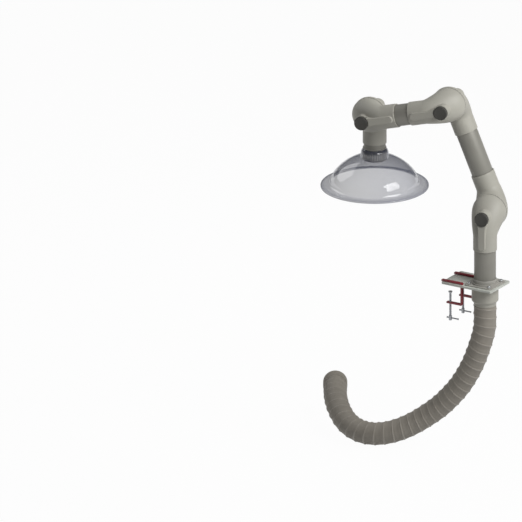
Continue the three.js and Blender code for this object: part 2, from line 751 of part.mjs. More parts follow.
mesh(base, 'bracket_plate', bracketPlate(), PLATE_PALE);
mesh(base, 'swivel_flange', swivelFlange(), MOULDED_GREY);
mesh(base, 'swivel_bush', swivelBush(), MOULDED_GREY);
boltPlaces.forEach(([x, y], i) => {
  mesh(base, `flange_bolt_${i + 1}`, flangeBolt(), BRIGHT_STEEL).position.set(x, y, 0);
});
mesh(base, 'hose_adapter', hoseAdapter(), MOULDED_GREY);
mesh(base, 'hose', hose(), HOSE_GREY);
const cuff = mesh(base, 'hose_cuff', hoseCuff(), HOSE_GREY);
cuff.position.set(...HOSE_ROUTE.at(-1));
cuff.quaternion.setFromUnitVectors(new THREE.Vector3(0, 0, 1), new THREE.Vector3(...CUFF_AIM).normalize());

for (const [name, place] of Object.entries(CLAMP_PLACES)) {
  const clamp = new THREE.Group();
  clamp.position.y = place;
  base.add(clamp);
  mesh(clamp, `${name}_clamp_frame`, clampFrame(), CLAMP_RED);
  const screw = new THREE.Group();
  screw.position.x = -SPINDLE_PLACE;
  clamp.add(screw);
  mesh(screw, `${name}_clamp_pad`, clampPad(), STEEL);
  mesh(screw, `${name}_clamp_spindle`, clampSpindle(), STEEL);
  mesh(screw, `${name}_tommy_bar`, tommyBar(), STEEL);
}

// The arm stands in the plane of its own X and Z, with joint axes along Y; front halves face -Y
const arm = new THREE.Group();
arm.rotation.z = THREE.MathUtils.degToRad(SWIVEL_YAW);
base.add(arm);

const lean = THREE.MathUtils.degToRad(LOWER_LEAN);
const drop = THREE.MathUtils.degToRad(UPPER_DROP);
const down = new THREE.Vector3(0, 0, -1);
const alongLower = new THREE.Vector3(-Math.sin(lean), 0, Math.cos(lean));
const alongUpper = new THREE.Vector3(-Math.cos(drop), 0, -Math.sin(drop));
const shoulder = new THREE.Vector3(0, JOINT_OFFSET, SHOULDER_HEIGHT);
const elbow = shoulder.clone().addScaledVector(alongLower, LOWER_ARM);
const wrist = elbow.clone().addScaledVector(alongUpper, UPPER_ARM);

// Frame of one elbow half, its Z facing out along the joint axis and its -Y along the tube
function halfFrame(centre, tubeAim, outward) {
  const frame = new THREE.Group();
  const y = tubeAim.clone().negate();
  const z = new THREE.Vector3(0, outward, 0);
  frame.setRotationFromMatrix(new THREE.Matrix4().makeBasis(y.clone().cross(z), y, z));
  frame.position.copy(centre);
  arm.add(frame);
  return frame;
}

function joint(name, centre, frontAim, backAim) {
  const front = halfFrame(centre, frontAim, -1);
  const back = halfFrame(centre, backAim, 1);
  mesh(front, `${name}_front_elbow`, frontElbow(), MOULDED_GREY);
  mesh(front, `${name}_seal_ring`, sealRing(), SEAL_GREY);
  mesh(front, `${name}_washer`, washer(), RUBBER);
  mesh(front, `${name}_knob`, knob(), KNOB_GREY);
  mesh(back, `${name}_back_elbow`, backElbow(), MOULDED_GREY);
  mesh(back, `${name}_tension_bolt`, tensionBolt(), STEEL);
  mesh(back, `${name}_bolt_cap`, boltCap(), MOULDED_GREY);
  return { front, back };
}

const tubeStart = socketStop + GAP;
const shoulderHalves = joint('shoulder', shoulder, down, alongLower);
const elbowHalves = joint('elbow', elbow, alongUpper, alongLower.clone().negate());
joint('wrist', wrist, alongUpper.clone().negate(), down);

const riserFoot = SHOULDER_HEIGHT - PLATE_THICKNESS - GAP;
mesh(shoulderHalves.front, 'riser_tube', tubeFrom(tubeStart, riserFoot), TUBE_GREY);
mesh(shoulderHalves.back, 'lower_arm_tube', tubeFrom(tubeStart, LOWER_ARM - tubeStart), TUBE_GREY);
mesh(elbowHalves.front, 'upper_arm_tube', tubeFrom(tubeStart, UPPER_ARM - tubeStart), TUBE_GREY);

const hood = new THREE.Group();
hood.position.set(wrist.x, wrist.y + JOINT_OFFSET, wrist.z - hoodDrop);
arm.add(hood);
mesh(hood, 'hood_neck_tube', hoodNeckTube(), TUBE_GREY);
mesh(hood, 'dome_hood', domeHood(), CLEAR_PLASTIC);
mesh(hood, 'hood_gasket', hoodGasket(), RUBBER);
mesh(hood, 'hood_nut', hoodNut(), MOULDED_GREY);

export default fumeArm;
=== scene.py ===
"""Fume extraction arm for a bench edge: the visible pieces and finishes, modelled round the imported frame."""

import math

import bmesh
import bpy
from bpy.props import FloatProperty, FloatVectorProperty, IntProperty, PointerProperty
from mathutils import Matrix, Vector


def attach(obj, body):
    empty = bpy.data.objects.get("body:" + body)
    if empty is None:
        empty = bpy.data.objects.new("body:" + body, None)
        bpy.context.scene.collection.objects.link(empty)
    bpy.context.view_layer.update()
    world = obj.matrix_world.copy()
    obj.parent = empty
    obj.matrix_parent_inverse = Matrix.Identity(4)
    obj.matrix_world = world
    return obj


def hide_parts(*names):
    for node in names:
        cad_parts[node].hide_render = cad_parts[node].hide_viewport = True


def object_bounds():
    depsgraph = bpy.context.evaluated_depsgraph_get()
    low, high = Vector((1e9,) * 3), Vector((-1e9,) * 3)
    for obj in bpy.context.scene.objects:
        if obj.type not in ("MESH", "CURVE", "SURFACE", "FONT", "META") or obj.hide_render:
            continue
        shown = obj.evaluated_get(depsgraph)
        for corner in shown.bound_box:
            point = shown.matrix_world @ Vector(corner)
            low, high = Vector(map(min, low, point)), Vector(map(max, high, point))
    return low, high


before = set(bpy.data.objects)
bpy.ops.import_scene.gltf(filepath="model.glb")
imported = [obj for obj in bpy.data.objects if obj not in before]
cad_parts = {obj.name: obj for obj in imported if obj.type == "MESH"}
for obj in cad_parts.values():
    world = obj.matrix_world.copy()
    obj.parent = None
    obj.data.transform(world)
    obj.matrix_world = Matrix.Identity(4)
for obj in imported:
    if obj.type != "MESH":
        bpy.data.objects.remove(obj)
cad_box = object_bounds()

bl_info = {
    "name": "Fume extraction arm",
    "version": (1, 0, 0),
    "blender": (4, 5, 0),
    "location": "View3D > Sidebar > Fume arm",
    "description": "Models the arm, its bench bracket, dome hood and hose",
    "category": "Add Mesh",
}

# Distances in metres that many pieces share
FIT = 0.0003  # room between pieces that touch
LOOSE_FIT = 0.0004  # room round a bolt, and round a tube in its bush and nut
SAME_POINT = 1e-6  # points closer than this are merged
NO_AREA = 1e-5  # edges and faces smaller than this are closed up


# Properties

def length(name, description, default):
    return FloatProperty(name=name, description=description, default=default, unit="LENGTH", precision=5)


def angle(name, description, degrees):
    return FloatProperty(name=name, description=description, default=math.radians(degrees), unit="ROTATION")


def power(name, description, watts):
    return FloatProperty(name=name, description=description, default=watts, unit="POWER")


def colour(name, description, red, green, blue):
    """A colour given by its sRGB bytes, kept as the linear values that the shaders use."""
    def linear(byte):
        share = byte / 255
        return share / 12.92 if share <= 0.04045 else ((share + 0.055) / 1.055) ** 2.4
    return FloatVectorProperty(
        name=name, description=description, subtype="COLOR", size=4, min=0, max=1,
        default=(linear(red), linear(green), linear(blue), 1),
    )


class ArmPose(bpy.types.PropertyGroup):
    """Where the joints are at rest."""
    riser_x: length("Riser X", "Riser axis from the middle of the bench seat", 0.105)
    yaw: angle("Yaw", "Turn of the arm on its base", 13.65)
    shoulder_height: length("Shoulder height", "Shoulder axis over the bench", 0.252)
    lower_arm: length("Lower arm", "From shoulder axis to elbow axis", 0.399)
    lower_lean: angle("Lower lean", "Lean of the lower arm from upright", 21.6)
    upper_arm: length("Upper arm", "From elbow axis to wrist axis", 0.292)
    upper_drop: angle("Upper drop", "Drop of the upper arm below level", 13.3)
    hood_drop: length("Hood drop", "Hood rim below the wrist axis", 0.276)


class ElbowSizes(bpy.types.PropertyGroup):
    """One half of a joint; its Z is the joint axis and its tube runs along -Y."""
    offset: length("Offset", "Tube axis from the seal's middle", 0.057)
    disc_radius: length("Disc radius", "Rim next to the seal", 0.060)
    rim_height: length("Rim height", "Straight rim next to the seal", 0.008)
    rim_wall: length("Rim wall", "Wall at the rim", 0.008)
    seam: length("Seam", "Half the gap between the two halves", 0.0016)
    socket_radius: length("Socket radius", "Outside of the socket", 0.041)
    socket_reach: length("Socket reach", "Socket mouth from the joint axis", 0.122)
    socket_depth: length("Socket depth", "Length of tube in the socket", 0.045)
    crotch_radius: length("Crotch radius", "Inside of the bend", 0.009)
    bend_power: FloatProperty(name="Bend power", description="Flattens the outside of the bend", default=1.28)
    boss_radius: length("Boss radius", "Boss round the tension bolt", 0.024)
    boss_root: length("Boss root", "Where the boss starts inside the wall", 0.040)
    front_boss: length("Front boss", "Front boss height over the seal", 0.088)
    back_boss: length("Back boss", "Back boss height over the seal", 0.101)
    rib_half_width: length("Rib half width", "Half the width of the teardrop rib", 0.0125)
    rib_waist: length("Rib waist", "Where the rib reaches its own width", 0.046)
    rib_reach: length("Rib reach", "Tip of the rib from the joint axis", 0.114)
    knob_radius: length("Knob radius", "Tension knob", 0.024)
    knob_face: length("Knob face", "Outer face of the knob over the seal", 0.104)
    cap_radius: length("Cap radius", "Cap over the bolt head", 0.016)
    seal_outer: length("Seal outer", "Outside of the seal ring", 0.0588)
    seal_width: length("Seal width", "Width of the seal ring", 0.007)
    seal_half: length("Seal half thickness", "Half the seal's thickness", 0.0015)
    voxel: length("Voxel", "Size of the cells that round the mouldings", 0.0014)


class TubeSizes(bpy.types.PropertyGroup):
    """The tubes between the joints."""
    radius: length("Radius", "Outside of a tube", 0.0375)
    wall: length("Wall", "Wall of a tube", 0.002)


class BaseSizes(bpy.types.PropertyGroup):
    """Bracket plate, swivel flange, bush and hose adapter."""
    plate_back: length("Plate back", "End on the bench, from the riser axis", 0.136)
    plate_front: length("Plate front", "Outer end, from the riser axis", 0.061)
    plate_width: length("Plate width", "Across the plate", 0.130)
    plate_thickness: length("Plate thickness", "Sheet of the plate", 0.007)
    plate_corner: length("Plate corner", "Corner radius of the plate", 0.005)
    flange_side: length("Flange side", "Side of the square flange", 0.108)
    flange_corner: length("Flange corner", "Corner radius of the flange", 0.014)
    flange_top: length("Flange top", "Top of the flange over the bench", 0.010)
    hub_radius: length("Hub radius", "Raised ring on the flange", 0.045)
    hub_height: length("Hub height", "Height of that ring", 0.005)
    bush_radius: length("Bush radius", "Outside of the swivel bush", 0.040)
    bush_top: length("Bush top", "Top of the bush over the bench", 0.027)
    bolt_pitch: length("Bolt pitch", "Square pattern of the flange bolts", 0.080)
    bolt_head: length("Bolt head", "Radius of a bolt head", 0.006)
    bolt_shank: length("Bolt shank", "Radius of a bolt", 0.003)
    adapter_radius: length("Adapter radius", "Outside of the hose adapter", 0.046)
    adapter_shoulder: length("Adapter shoulder", "Depth where its cone starts", 0.052)
    adapter_length: length("Adapter length", "Bottom of the adapter", 0.070)


class ClampSizes(bpy.types.PropertyGroup):
    """The two screw clamps; lengths along X are from the riser axis."""
    front_place: length("Front place", "Front clamp across the plate", -0.052)
    rear_place: length("Rear place", "Rear clamp across the plate", 0.032)
    strip_width: length("Strip width", "Width of the bent strip", 0.012)
    strip_thickness: length("Strip thickness", "Thickness of the bent strip", 0.006)
    web: length("Web", "Outer side of the web", 0.058)
    upper_end: length("Upper end", "End of the upper jaw", 0.140)
    lower_end: length("Lower end", "End of the lower jaw", 0.120)
    depth: length("Depth", "Underside of the lower jaw below the bench top", 0.069)
    spindle_place: length("Spindle place", "Spindle axis", 0.107)
    spindle_radius: length("Spindle radius", "Crest of the thread", 0.004)
    thread_pitch: length("Thread pitch", "Pitch of the thread", 0.0025)
    foot_radius: length("Foot radius", "Foot that holds the bar", 0.0055)
    foot_top: length("Foot top", "Top of the foot", 0.113)
    spindle_end: length("Spindle end", "Bottom of the foot", 0.130)
    pad_radius: length("Pad radius", "Pressure pad", 0.007)
    pad_top: length("Pad top", "Face of the pad below the bench top", 0.025)
    pad_thickness: length("Pad thickness", "Thickness of the pad", 0.005)
    bar_radius: length("Bar radius", "Tommy bar", 0.0024)
    bar_length: length("Bar length", "Tommy bar", 0.047)
    bar_shift: length("Bar shift", "How far the bar hangs off-centre", 0.009)
    bead_radius: length("Bead radius", "Beads at the bar's ends", 0.0032)


class HoodSizes(bpy.types.PropertyGroup):
    """Dome hood, its neck and its nut; heights are over the rim plane."""
    rim_radius: length("Rim radius", "Outside of the brim", 0.1855)
    brim_inner: length("Brim inner", "Where the brim turns up", 0.152)
    dome_radius: length("Dome radius", "Sphere of the dome", 0.1758)
    dome_centre: length("Dome centre", "Sphere's middle below the rim plane", 0.064)
    dome_wall: length("Dome wall", "Thickness of the plastic", 0.0024)
    dome_foot: length("Dome foot", "Radius where the dome's arc starts", 0.142)
    neck_foot: length("Neck foot", "Radius where the neck meets the dome", 0.050)
    collar_radius: length("Collar radius", "Bulge of the neck", 0.047)
    collar_drop: length("Collar drop", "Bulge below the top of the neck", 0.010)
    neck_height: length("Neck height", "Top of the neck", 0.135)
    bead_radius: length("Bead radius", "Bead on the neck tube", 0.0405)
    nut_radius: length("Nut radius", "Fluted nut inside the dome", 0.041)
    nut_lip: length("Nut lip", "Lip of the nut", 0.0425)
    nut_bottom: length("Nut bottom", "Bottom of the nut", 0.095)
    nut_top: length("Nut top", "Top of the nut", 0.126)
    nut_flutes: IntProperty(name="Nut flutes", description="Grip flutes round the nut", default=30)


class HoseSizes(bpy.types.PropertyGroup):
    """Ribbed hose and its cuff."""
    radius: length("Radius", "Outside between the ribs", 0.0386)
    bore: length("Bore", "Inside of the hose", 0.0366)
    crest: length("Crest", "Outside of a rib", 0.0406)
    pitch: length("Pitch", "From rib to rib", 0.031)
    rib_width: length("Rib width", "Width of a rib at its foot", 0.0065)
    cuff_radius: length("Cuff radius", "Outside of the cuff", 0.0415)
    cuff_length: length("Cuff length", "Length of the cuff", 0.045)


class Finishes(bpy.types.PropertyGroup):
    """Colours of the finishes."""
    moulding: colour("Moulding", "Elbows, bolt caps and adapter", 180, 178, 168)
    tube: colour("Tube", "Coated tubes", 147, 145, 137)
    hose: colour("Hose", "Ribbed hose and its cuff", 149, 143, 133)
    knob: colour("Knob", "Tension knobs", 72, 71, 67)
    # Painted shade: the seal rings are coloured dark to stand in for the shade in the seam between the two
    # halves of a joint
    seal: colour("Seal", "Seal rings", 62, 60, 57)
    clamp: colour("Clamp", "Painted clamp frames", 134, 12, 32)
    plate: colour("Plate", "Bracket plate", 200, 203, 195)
    flange: colour("Flange", "Swivel flange and bush", 168, 166, 159)
    steel: colour("Steel", "Spindles, pads, bars and tension bolts", 168, 171, 175)
    bright: colour("Bright steel", "Flange bolts", 210, 212, 214)
    rubber: colour("Rubber", "Washers", 40, 40, 40)
    clear: colour("Clear plastic", "Dome hood", 92, 98, 122)
    # Painted light: the nut is the elbows' plastic, tinted paler to make up for the shade that the dome's
    # collar casts on it
    nut: colour("Nut", "Fluted hood nut", 216, 213, 204)
    gasket: colour("Gasket", "Hood gasket", 128, 126, 120)


class StageSettings(bpy.types.PropertyGroup):
    """Camera, floor and lamps."""
    azimuth: angle("Azimuth", "Camera to the right of the front", 31)
    elevation: angle("Elevation", "Camera over the horizon", 19.87)
    frame_width: length("Frame width", "Width of the picture", 1.7846)
    frame_right: length("Frame right", "Picture's middle from the swivel, to the right", -0.766)
    frame_up: length("Frame up", "Picture's middle from the swivel, upwards", 0.0735)
    floor_gap: length("Floor gap", "Floor below the hose", 0.004)
    floor_size: length("Floor size", "Side of the floor", 60)
    key_power: power("Key power", "Strength of the key lamp", 86)
    fill_power: power("Fill power", "Strength of the fill lamp", 12)
    back_power: power("Back power", "Strength of the back lamp", 26)
    sky: FloatProperty(name="Sky", description="Strength of the even light", default=0.13)


GROUPS = {
    "fume_arm_pose": ArmPose,
    "fume_arm_elbow": ElbowSizes,
    "fume_arm_tube": TubeSizes,
    "fume_arm_base": BaseSizes,
    "fume_arm_clamp": ClampSizes,
    "fume_arm_hood": HoodSizes,
    "fume_arm_hose": HoseSizes,
    "fume_arm_finishes": Finishes,
    "fume_arm_stage": StageSettings,
}

# Middle line of the hose in metres, and the direction that its cuff points
HOSE_ROUTE = [
    (0.105, 0, -0.0703), (0.105, 0, -0.112), (0.104, 0, -0.148), (0.097, -0.002, -0.186),
    (0.083, -0.005, -0.233), (0.063, -0.006, -0.285), (0.038, -0.007, -0.334), (0.009, -0.010, -0.381),
    (-0.025, -0.016, -0.424), (-0.062, -0.024, -0.464), (-0.103, -0.037, -0.499), (-0.145, -0.056, -0.530),
    (-0.189, -0.080, -0.554), (-0.237, -0.101, -0.570), (-0.289, -0.112, -0.577), (-0.342, -0.108, -0.574),
    (-0.392, -0.092, -0.560), (-0.435, -0.064, -0.539), (-0.469, -0.030, -0.522), (-0.497, 0.008, -0.512),
    (-0.517, 0.041, -0.509), (-0.537, 0.074, -0.509),
]
CUFF_AIM = Vector((-0.515, 0.857, 0)).normalized()


# Frames of the arm

class Arm:
    """Places of the joints and the directions of the tubes, in the row frame."""

    def __init__(self, pose, elbow):
        swing = Matrix.Rotation(pose.yaw, 3, "Z")
        self.riser = Vector((pose.riser_x, 0, 0))
        self.axis = swing @ Vector((0, 1, 0))
        self.down = Vector((0, 0, -1))
        self.along_lower = swing @ Vector((-math.sin(pose.lower_lean), 0, math.cos(pose.lower_lean)))
        self.along_upper = swing @ Vector((-math.cos(pose.upper_drop), 0, -math.sin(pose.upper_drop)))
        self.shoulder = self.riser + self.axis * elbow.offset + Vector((0, 0, pose.shoulder_height))
        self.elbow = self.shoulder + self.along_lower * pose.lower_arm
        self.wrist = self.elbow + self.along_upper * pose.upper_arm
        self.hood = self.wrist + self.axis * elbow.offset + self.down * pose.hood_drop

    def half(self, centre, tube_aim, outward):
        """Matrix of one elbow half: Z out along the joint axis, -Y along its tube."""
        z = self.axis * outward
        y = -tube_aim
        x = y.cross(z)
        return Matrix.Translation(centre) @ Matrix((x, y, z)).transposed().to_4x4()

    def joints(self):
        """Name, front and back matrix, and the bodies of the front and the back half, for each joint."""
        shoulder, elbow, wrist = self.shoulder, self.elbow, self.wrist
        return [
            ("shoulder", self.half(shoulder, self.down, -1), self.half(shoulder, self.along_lower, 1),
             "riser", "lower_arm"),
            ("elbow", self.half(elbow, self.along_upper, -1), self.half(elbow, -self.along_lower, 1),
             "upper_arm", "lower_arm"),
            ("wrist", self.half(wrist, -self.along_upper, -1), self.half(wrist, self.down, 1),
             "upper_arm", "hood"),
        ]


def arm_of(context):
    return Arm(context.scene.fume_arm_pose, context.scene.fume_arm_elbow)


# Modelling

def clear_selection():
    if bpy.context.object and bpy.context.object.mode != "OBJECT":
        bpy.ops.object.mode_set(mode="OBJECT")
    bpy.ops.object.select_all(action="DESELECT")


def make_active(piece):
    clear_selection()
    piece.select_set(True)
    bpy.context.view_layer.objects.active = piece


def named(name):
    """The primitive just added, under its own name."""
    piece = bpy.context.object
    piece.name = name
    piece.data.name = name
    return piece


def apply_modifier(piece, kind, **settings):
    make_active(piece)
    modifier = piece.modifiers.new(kind.title(), kind)
    for key, value in settings.items():
        setattr(modifier, key, value)
    bpy.ops.object.modifier_apply(modifier=modifier.name)
    return piece


def rounded(piece, width, segments=3, degrees=30):
    """Rounds every edge that is sharper than an angle."""
    return apply_modifier(
        piece, "BEVEL", width=width, segments=segments, limit_method="ANGLE",
        angle_limit=math.radians(degrees), use_clamp_overlap=True,
    )


def cut(piece, tool, operation="DIFFERENCE"):
    apply_modifier(piece, "BOOLEAN", object=tool, operation=operation, solver="EXACT")
    remove(tool)
    return piece


def remove(*pieces):
    """Deletes cutters, and the patterns that copies were made from."""
    for piece in pieces:
        bpy.data.objects.remove(piece)


def smooth(piece, degrees=32):
    """Closes the faces that a bevel or cut left without area, and shades by angle."""
    make_active(piece)
    bpy.ops.object.mode_set(mode="EDIT")
    bpy.ops.mesh.select_all(action="SELECT")
    bpy.ops.mesh.dissolve_degenerate(threshold=NO_AREA)
    bpy.ops.object.mode_set(mode="OBJECT")
    bpy.ops.object.shade_smooth_by_angle(angle=math.radians(degrees))
    return piece


def moved(piece, matrix):
    make_active(piece)
    piece.matrix_world = matrix
    bpy.ops.object.transform_apply(location=True, rotation=True, scale=True)
    return piece


def copied(piece, name, matrix):
    twin = piece.copy()
    twin.data = piece.data.copy()
    twin.name = name
    twin.data.name = name
    bpy.context.collection.objects.link(twin)
    return moved(twin, matrix)


def turned(name, profile, steps=96):
    """Spins a closed profile of (radius, height) pairs round Z, as on a lathe."""
    clear_selection()
    bpy.ops.mesh.primitive_plane_add(size=0.001)
    piece = named(name)
    bpy.ops.object.mode_set(mode="EDIT")
    bpy.ops.mesh.merge(type="CENTER")
    first = Vector((profile[0][0], 0, profile[0][1]))
    bpy.ops.transform.translate(value=first)
    for before, after in zip(profile, profile[1:]):
        step = Vector((after[0] - before[0], 0, after[1] - before[1]))
        bpy.ops.mesh.extrude_region_move(TRANSFORM_OT_translate={"value": step})
    bpy.ops.mesh.select_all(action="SELECT")
    bpy.ops.mesh.remove_doubles(threshold=SAME_POINT)
    bpy.ops.mesh.select_all(action="SELECT")
    bpy.ops.mesh.spin(steps=steps, angle=math.tau, center=(0, 0, 0), axis=(0, 0, 1))
    bpy.ops.mesh.select_all(action="SELECT")
    bpy.ops.mesh.remove_doubles(threshold=SAME_POINT)
    bpy.ops.mesh.delete_loose()
    bpy.ops.mesh.select_all(action="SELECT")
    bpy.ops.mesh.normals_make_consistent(inside=False)
    bpy.ops.object.mode_set(mode="OBJECT")
    return piece


def ring_profile(inner, outer, low, high):
    """Closed profile of a plain ring or tube, to be turned."""
    return [(inner, low), (outer, low), (outer, high), (inner, high), (inner, low)]


def drum(name, radius, bottom, top, sides=96):
    """A short cylinder on Z, as a start for bosses, pins and cutters."""
    clear_selection()
    bpy.ops.mesh.primitive_cylinder_add(
        vertices=sides, radius=radius, depth=top - bottom, location=(0, 0, (top + bottom) / 2))
    piece = named(name)
    bpy.ops.object.transform_apply(location=True, rotation=True, scale=True)
    return piece


def raised(name, outline, bottom, top):
    """Extrudes a flat outline of (x, y) points upwards."""
    clear_selection()
    bpy.ops.mesh.primitive_circle_add(vertices=len(outline), radius=1, fill_type="NGON")
    piece = named(name)
    for vertex, (x, y) in zip(piece.data.vertices, outline):
        vertex.co = (x, y, bottom)
    bpy.ops.object.mode_set(mode="EDIT")
    bpy.ops.mesh.select_all(action="SELECT")
    bpy.ops.mesh.extrude_region_move(TRANSFORM_OT_translate={"value": (0, 0, top - bottom)})
    bpy.ops.mesh.select_all(action="SELECT")
    bpy.ops.mesh.normals_make_consistent(inside=False)
    bpy.ops.object.mode_set(mode="OBJECT")
    return piece


def corner_arc(x, y, radius, start, steps=8):
    return [
        (x + radius * math.cos(start + step / steps * math.pi / 2),
         y + radius * math.sin(start + step / steps * math.pi / 2))
        for step in range(steps + 1)
    ]


def rounded_rectangle(left, bottom, right, top, radius):
    return [
        *corner_arc(right - radius, bottom + radius, radius, -math.pi / 2),
        *corner_arc(right - radius, top - radius, radius, 0),
        *corner_arc(left + radius, top - radius, radius, math.pi / 2),
        *corner_arc(left + radius, bottom + radius, radius, math.pi),
    ]


def skinned(name, rings, closed=False):
    """A closed skin over rings of equally many points; a bend that changes its section can't be spun."""
    shape = bmesh.new()
    levels = [[shape.verts.new(point) for point in ring] for ring in rings]
    pairs = list(zip(levels, levels[1:] + levels[:1])) if closed else list(zip(levels, levels[1:]))
    for lower, upper in pairs:
        for i in range(len(lower)):
            j = (i + 1) % len(lower)
            shape.faces.new((lower[i], lower[j], upper[j], upper[i]))
    if not closed:
        shape.faces.new(list(reversed(levels[0])))
        shape.faces.new(levels[-1])
    bmesh.ops.recalc_face_normals(shape, faces=shape.faces)
    data = bpy.data.meshes.new(name)
    shape.to_mesh(data)
    shape.free()
    piece = bpy.data.objects.new(name, data)
    bpy.context.collection.objects.link(piece)
    return piece


def settle(piece, body, finish_name, node):
    """Gives a piece its finish, its body and the CAD node that it stands for."""
    piece.data.materials.clear()
    piece.data.materials.append(finish(finish_name))
    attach(piece, body)
    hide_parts(node)


def paint(node, finish_name):
    """Gives a finish to a CAD node that keeps its own shape."""
    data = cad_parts[node].data
    data.materials.clear()
    data.materials.append(finish(finish_name))


# Shader maths

class Socket:
    """Wraps an output socket, so that sums on it add Math nodes."""

    def __init__(self, board, link):
        self.board = board
        self.link = link

    def maths(self, operation, *values):
        return self.board.node("ShaderNodeMath", {"operation": operation}, dict(enumerate(values)))

    def __add__(self, other):
        return self.maths("ADD", self, other)

    def __radd__(self, other):
        return self.maths("ADD", other, self)

    def __sub__(self, other):
        return self.maths("SUBTRACT", self, other)

    def __mul__(self, other):
        return self.maths("MULTIPLY", self, other)


class Finish:
    """A material and its node board."""

    def __init__(self, name):
        self.material = bpy.data.materials.new(name)
        self.material.use_nodes = True
        self.tree = self.material.node_tree
        self.tree.nodes.clear()

    def node(self, kind, settings=None, sockets=None, output=0):
        made = self.tree.nodes.new(kind)
        for key, value in (settings or {}).items():
            setattr(made, key, value)
        for key, value in (sockets or {}).items():
            if isinstance(value, Socket):
                self.tree.links.new(value.link, made.inputs[key])
            else:
                made.inputs[key].default_value = value
        return Socket(self, made.outputs[output])

    def place(self, scale=(1, 1, 1), turn=None):
        """Object coordinates, turned where a turn is given, and scaled."""
        where = self.node("ShaderNodeTexCoord", output="Object")
        if turn:
            where = self.node("ShaderNodeMapping", {"vector_type": "TEXTURE"}, {
                "Vector": where, "Rotation": turn})
        return self.node("ShaderNodeMapping", {"vector_type": "POINT"}, {"Vector": where, "Scale": scale})

    def noise(self, where, scale, detail=3, roughness=0.55):
        return self.node("ShaderNodeTexNoise", None, {
            "Vector": where, "Scale": scale, "Detail": detail, "Roughness": roughness})

    def spread(self, value, low=0.3, high=0.7):
        """Stretches the middle of a noise to 0..1."""
        return self.node("ShaderNodeMapRange", {"clamp": True}, {
            "Value": value, "From Min": low, "From Max": high})

    def blend(self, share, one, other):
        """Mixes two colours."""
        return self.node("ShaderNodeMix", {"data_type": "RGBA"}, {0: share, 6: one, 7: other}, output=2)

    def bump(self, height, strength, distance):
        return self.node("ShaderNodeBump", None, {
            "Height": height, "Strength": strength, "Distance": distance})

    def finished(self, shader):
        """Links the shader to the output and hands over the material."""
        output = self.tree.nodes.new("ShaderNodeOutputMaterial")
        self.tree.links.new(shader.link, output.inputs["Surface"])
        return self.material

    def surface(self, sockets):
        return self.finished(self.node("ShaderNodeBsdfPrincipled", None, sockets))


def shade(tint, factor):
    """A darker or lighter tone of a colour."""
    return (min(tint[0] * factor, 1), min(tint[1] * factor, 1), min(tint[2] * factor, 1), 1)


def moulded_finish(name, tint, rough=0.46):
    """Satin moulded plastic: faint cloudiness, a fine spark-eroded grain and soft handling marks."""
    look = Finish(name)
    where = look.place()
    cloud = look.spread(look.noise(where, scale=14))
    grain = look.noise(where, scale=900, detail=2, roughness=0.6)
    rub = look.spread(look.noise(where, scale=55, detail=4, roughness=0.65), low=0.5, high=0.75)
    body = look.blend(cloud, shade(tint, 0.955), shade(tint, 1.035))
    tone = look.blend(rub * 0.25, body, shade(tint, 0.9))
    return look.surface({
        "Base Color": tone,
        "Roughness": rough + grain * 0.1 - rub * 0.06,
        "Normal": look.bump(grain, strength=0.12, distance=0.0003),
        "Specular IOR Level": 0.45,
    })


def tube_finish(name, tint, along):
    """Coated drawn tube: faint lines along the tube under a satin coat."""
    look = Finish(name)
    turn = tuple(along.to_track_quat("Z", "Y").to_euler())
    lines = look.noise(look.place(scale=(520, 520, 6), turn=turn), scale=1, detail=2)
    cloud = look.spread(look.noise(look.place(), scale=18))
    body = look.blend(cloud, shade(tint, 0.95), shade(tint, 1.05))
    tone = look.blend(look.spread(lines, low=0.35, high=0.75) * 0.4, body, shade(tint, 0.88))
    return look.surface({
        "Base Color": tone,
        "Roughness": 0.4 + lines * 0.14,
        "Metallic": 0.15,
        "Normal": look.bump(lines, strength=0.05, distance=0.0002),
    })


def hose_finish(name, tint):
    """Matt flexible hose: rib tops painted paler than the hollows as a painted highlight, and a fine mottled
    skin.
    """
    look = Finish(name)
    where = look.place()
    rib = look.node("ShaderNodeAttribute", {"attribute_name": "rib_height"}, output="Fac")
    cloud = look.spread(look.noise(where, scale=26, detail=4))
    grain = look.noise(where, scale=700, detail=2)
    body = look.blend(cloud, shade(tint, 0.93), shade(tint, 1.05))
    # Painted highlight: the rib tops are blended towards a paler tone where the ribs would catch the light
    tone = look.blend(rib * 0.42, body, shade(tint, 1.5))
    return look.surface({
        "Base Color": tone,
        "Roughness": 0.62 + grain * 0.14 - rib * 0.42,
        "Normal": look.bump(grain + cloud * 0.4, strength=0.15, distance=0.0004),
        "Specular IOR Level": 0.8,
    })


def painted_finish(name, tint, rough=0.3):
    """Stoved paint over steel: slight orange peel and a few darker scuffs."""
    look = Finish(name)
    where = look.place()
    peel = look.noise(where, scale=380, detail=2)
    scuff = look.spread(look.noise(where, scale=90, detail=5, roughness=0.7), low=0.6, high=0.72)
    cloud = look.spread(look.noise(where, scale=22))
    body = look.blend(cloud, shade(tint, 0.9), shade(tint, 1.12))
    tone = look.blend(scuff * 0.5, body, shade(tint, 0.62))
    return look.surface({
        "Base Color": tone,
        "Roughness": rough + scuff * 0.25,
        "Normal": look.bump(peel, strength=0.08, distance=0.0003),
        "Coat Weight": 0.35,
        "Coat Roughness": 0.12,
    })


def metal_finish(name, tint, rough, brushed=(60, 900, 900)):
    """Bare or plated steel: brushed lines, faint stains and small wear."""
    look = Finish(name)
    lines = look.noise(look.place(scale=brushed), scale=1, detail=3)
    stain = look.spread(look.noise(look.place(), scale=60, detail=4), low=0.42, high=0.7)
    body = look.blend(lines, shade(tint, 0.86), shade(tint, 1.08))
    tone = look.blend(stain * 0.3, body, shade(tint, 0.75))
    return look.surface({
        "Base Color": tone,
        "Metallic": 0.85,
        "Roughness": rough + lines * 0.14 + stain * 0.08,
        "Normal": look.bump(lines, strength=0.06, distance=0.0002),
    })


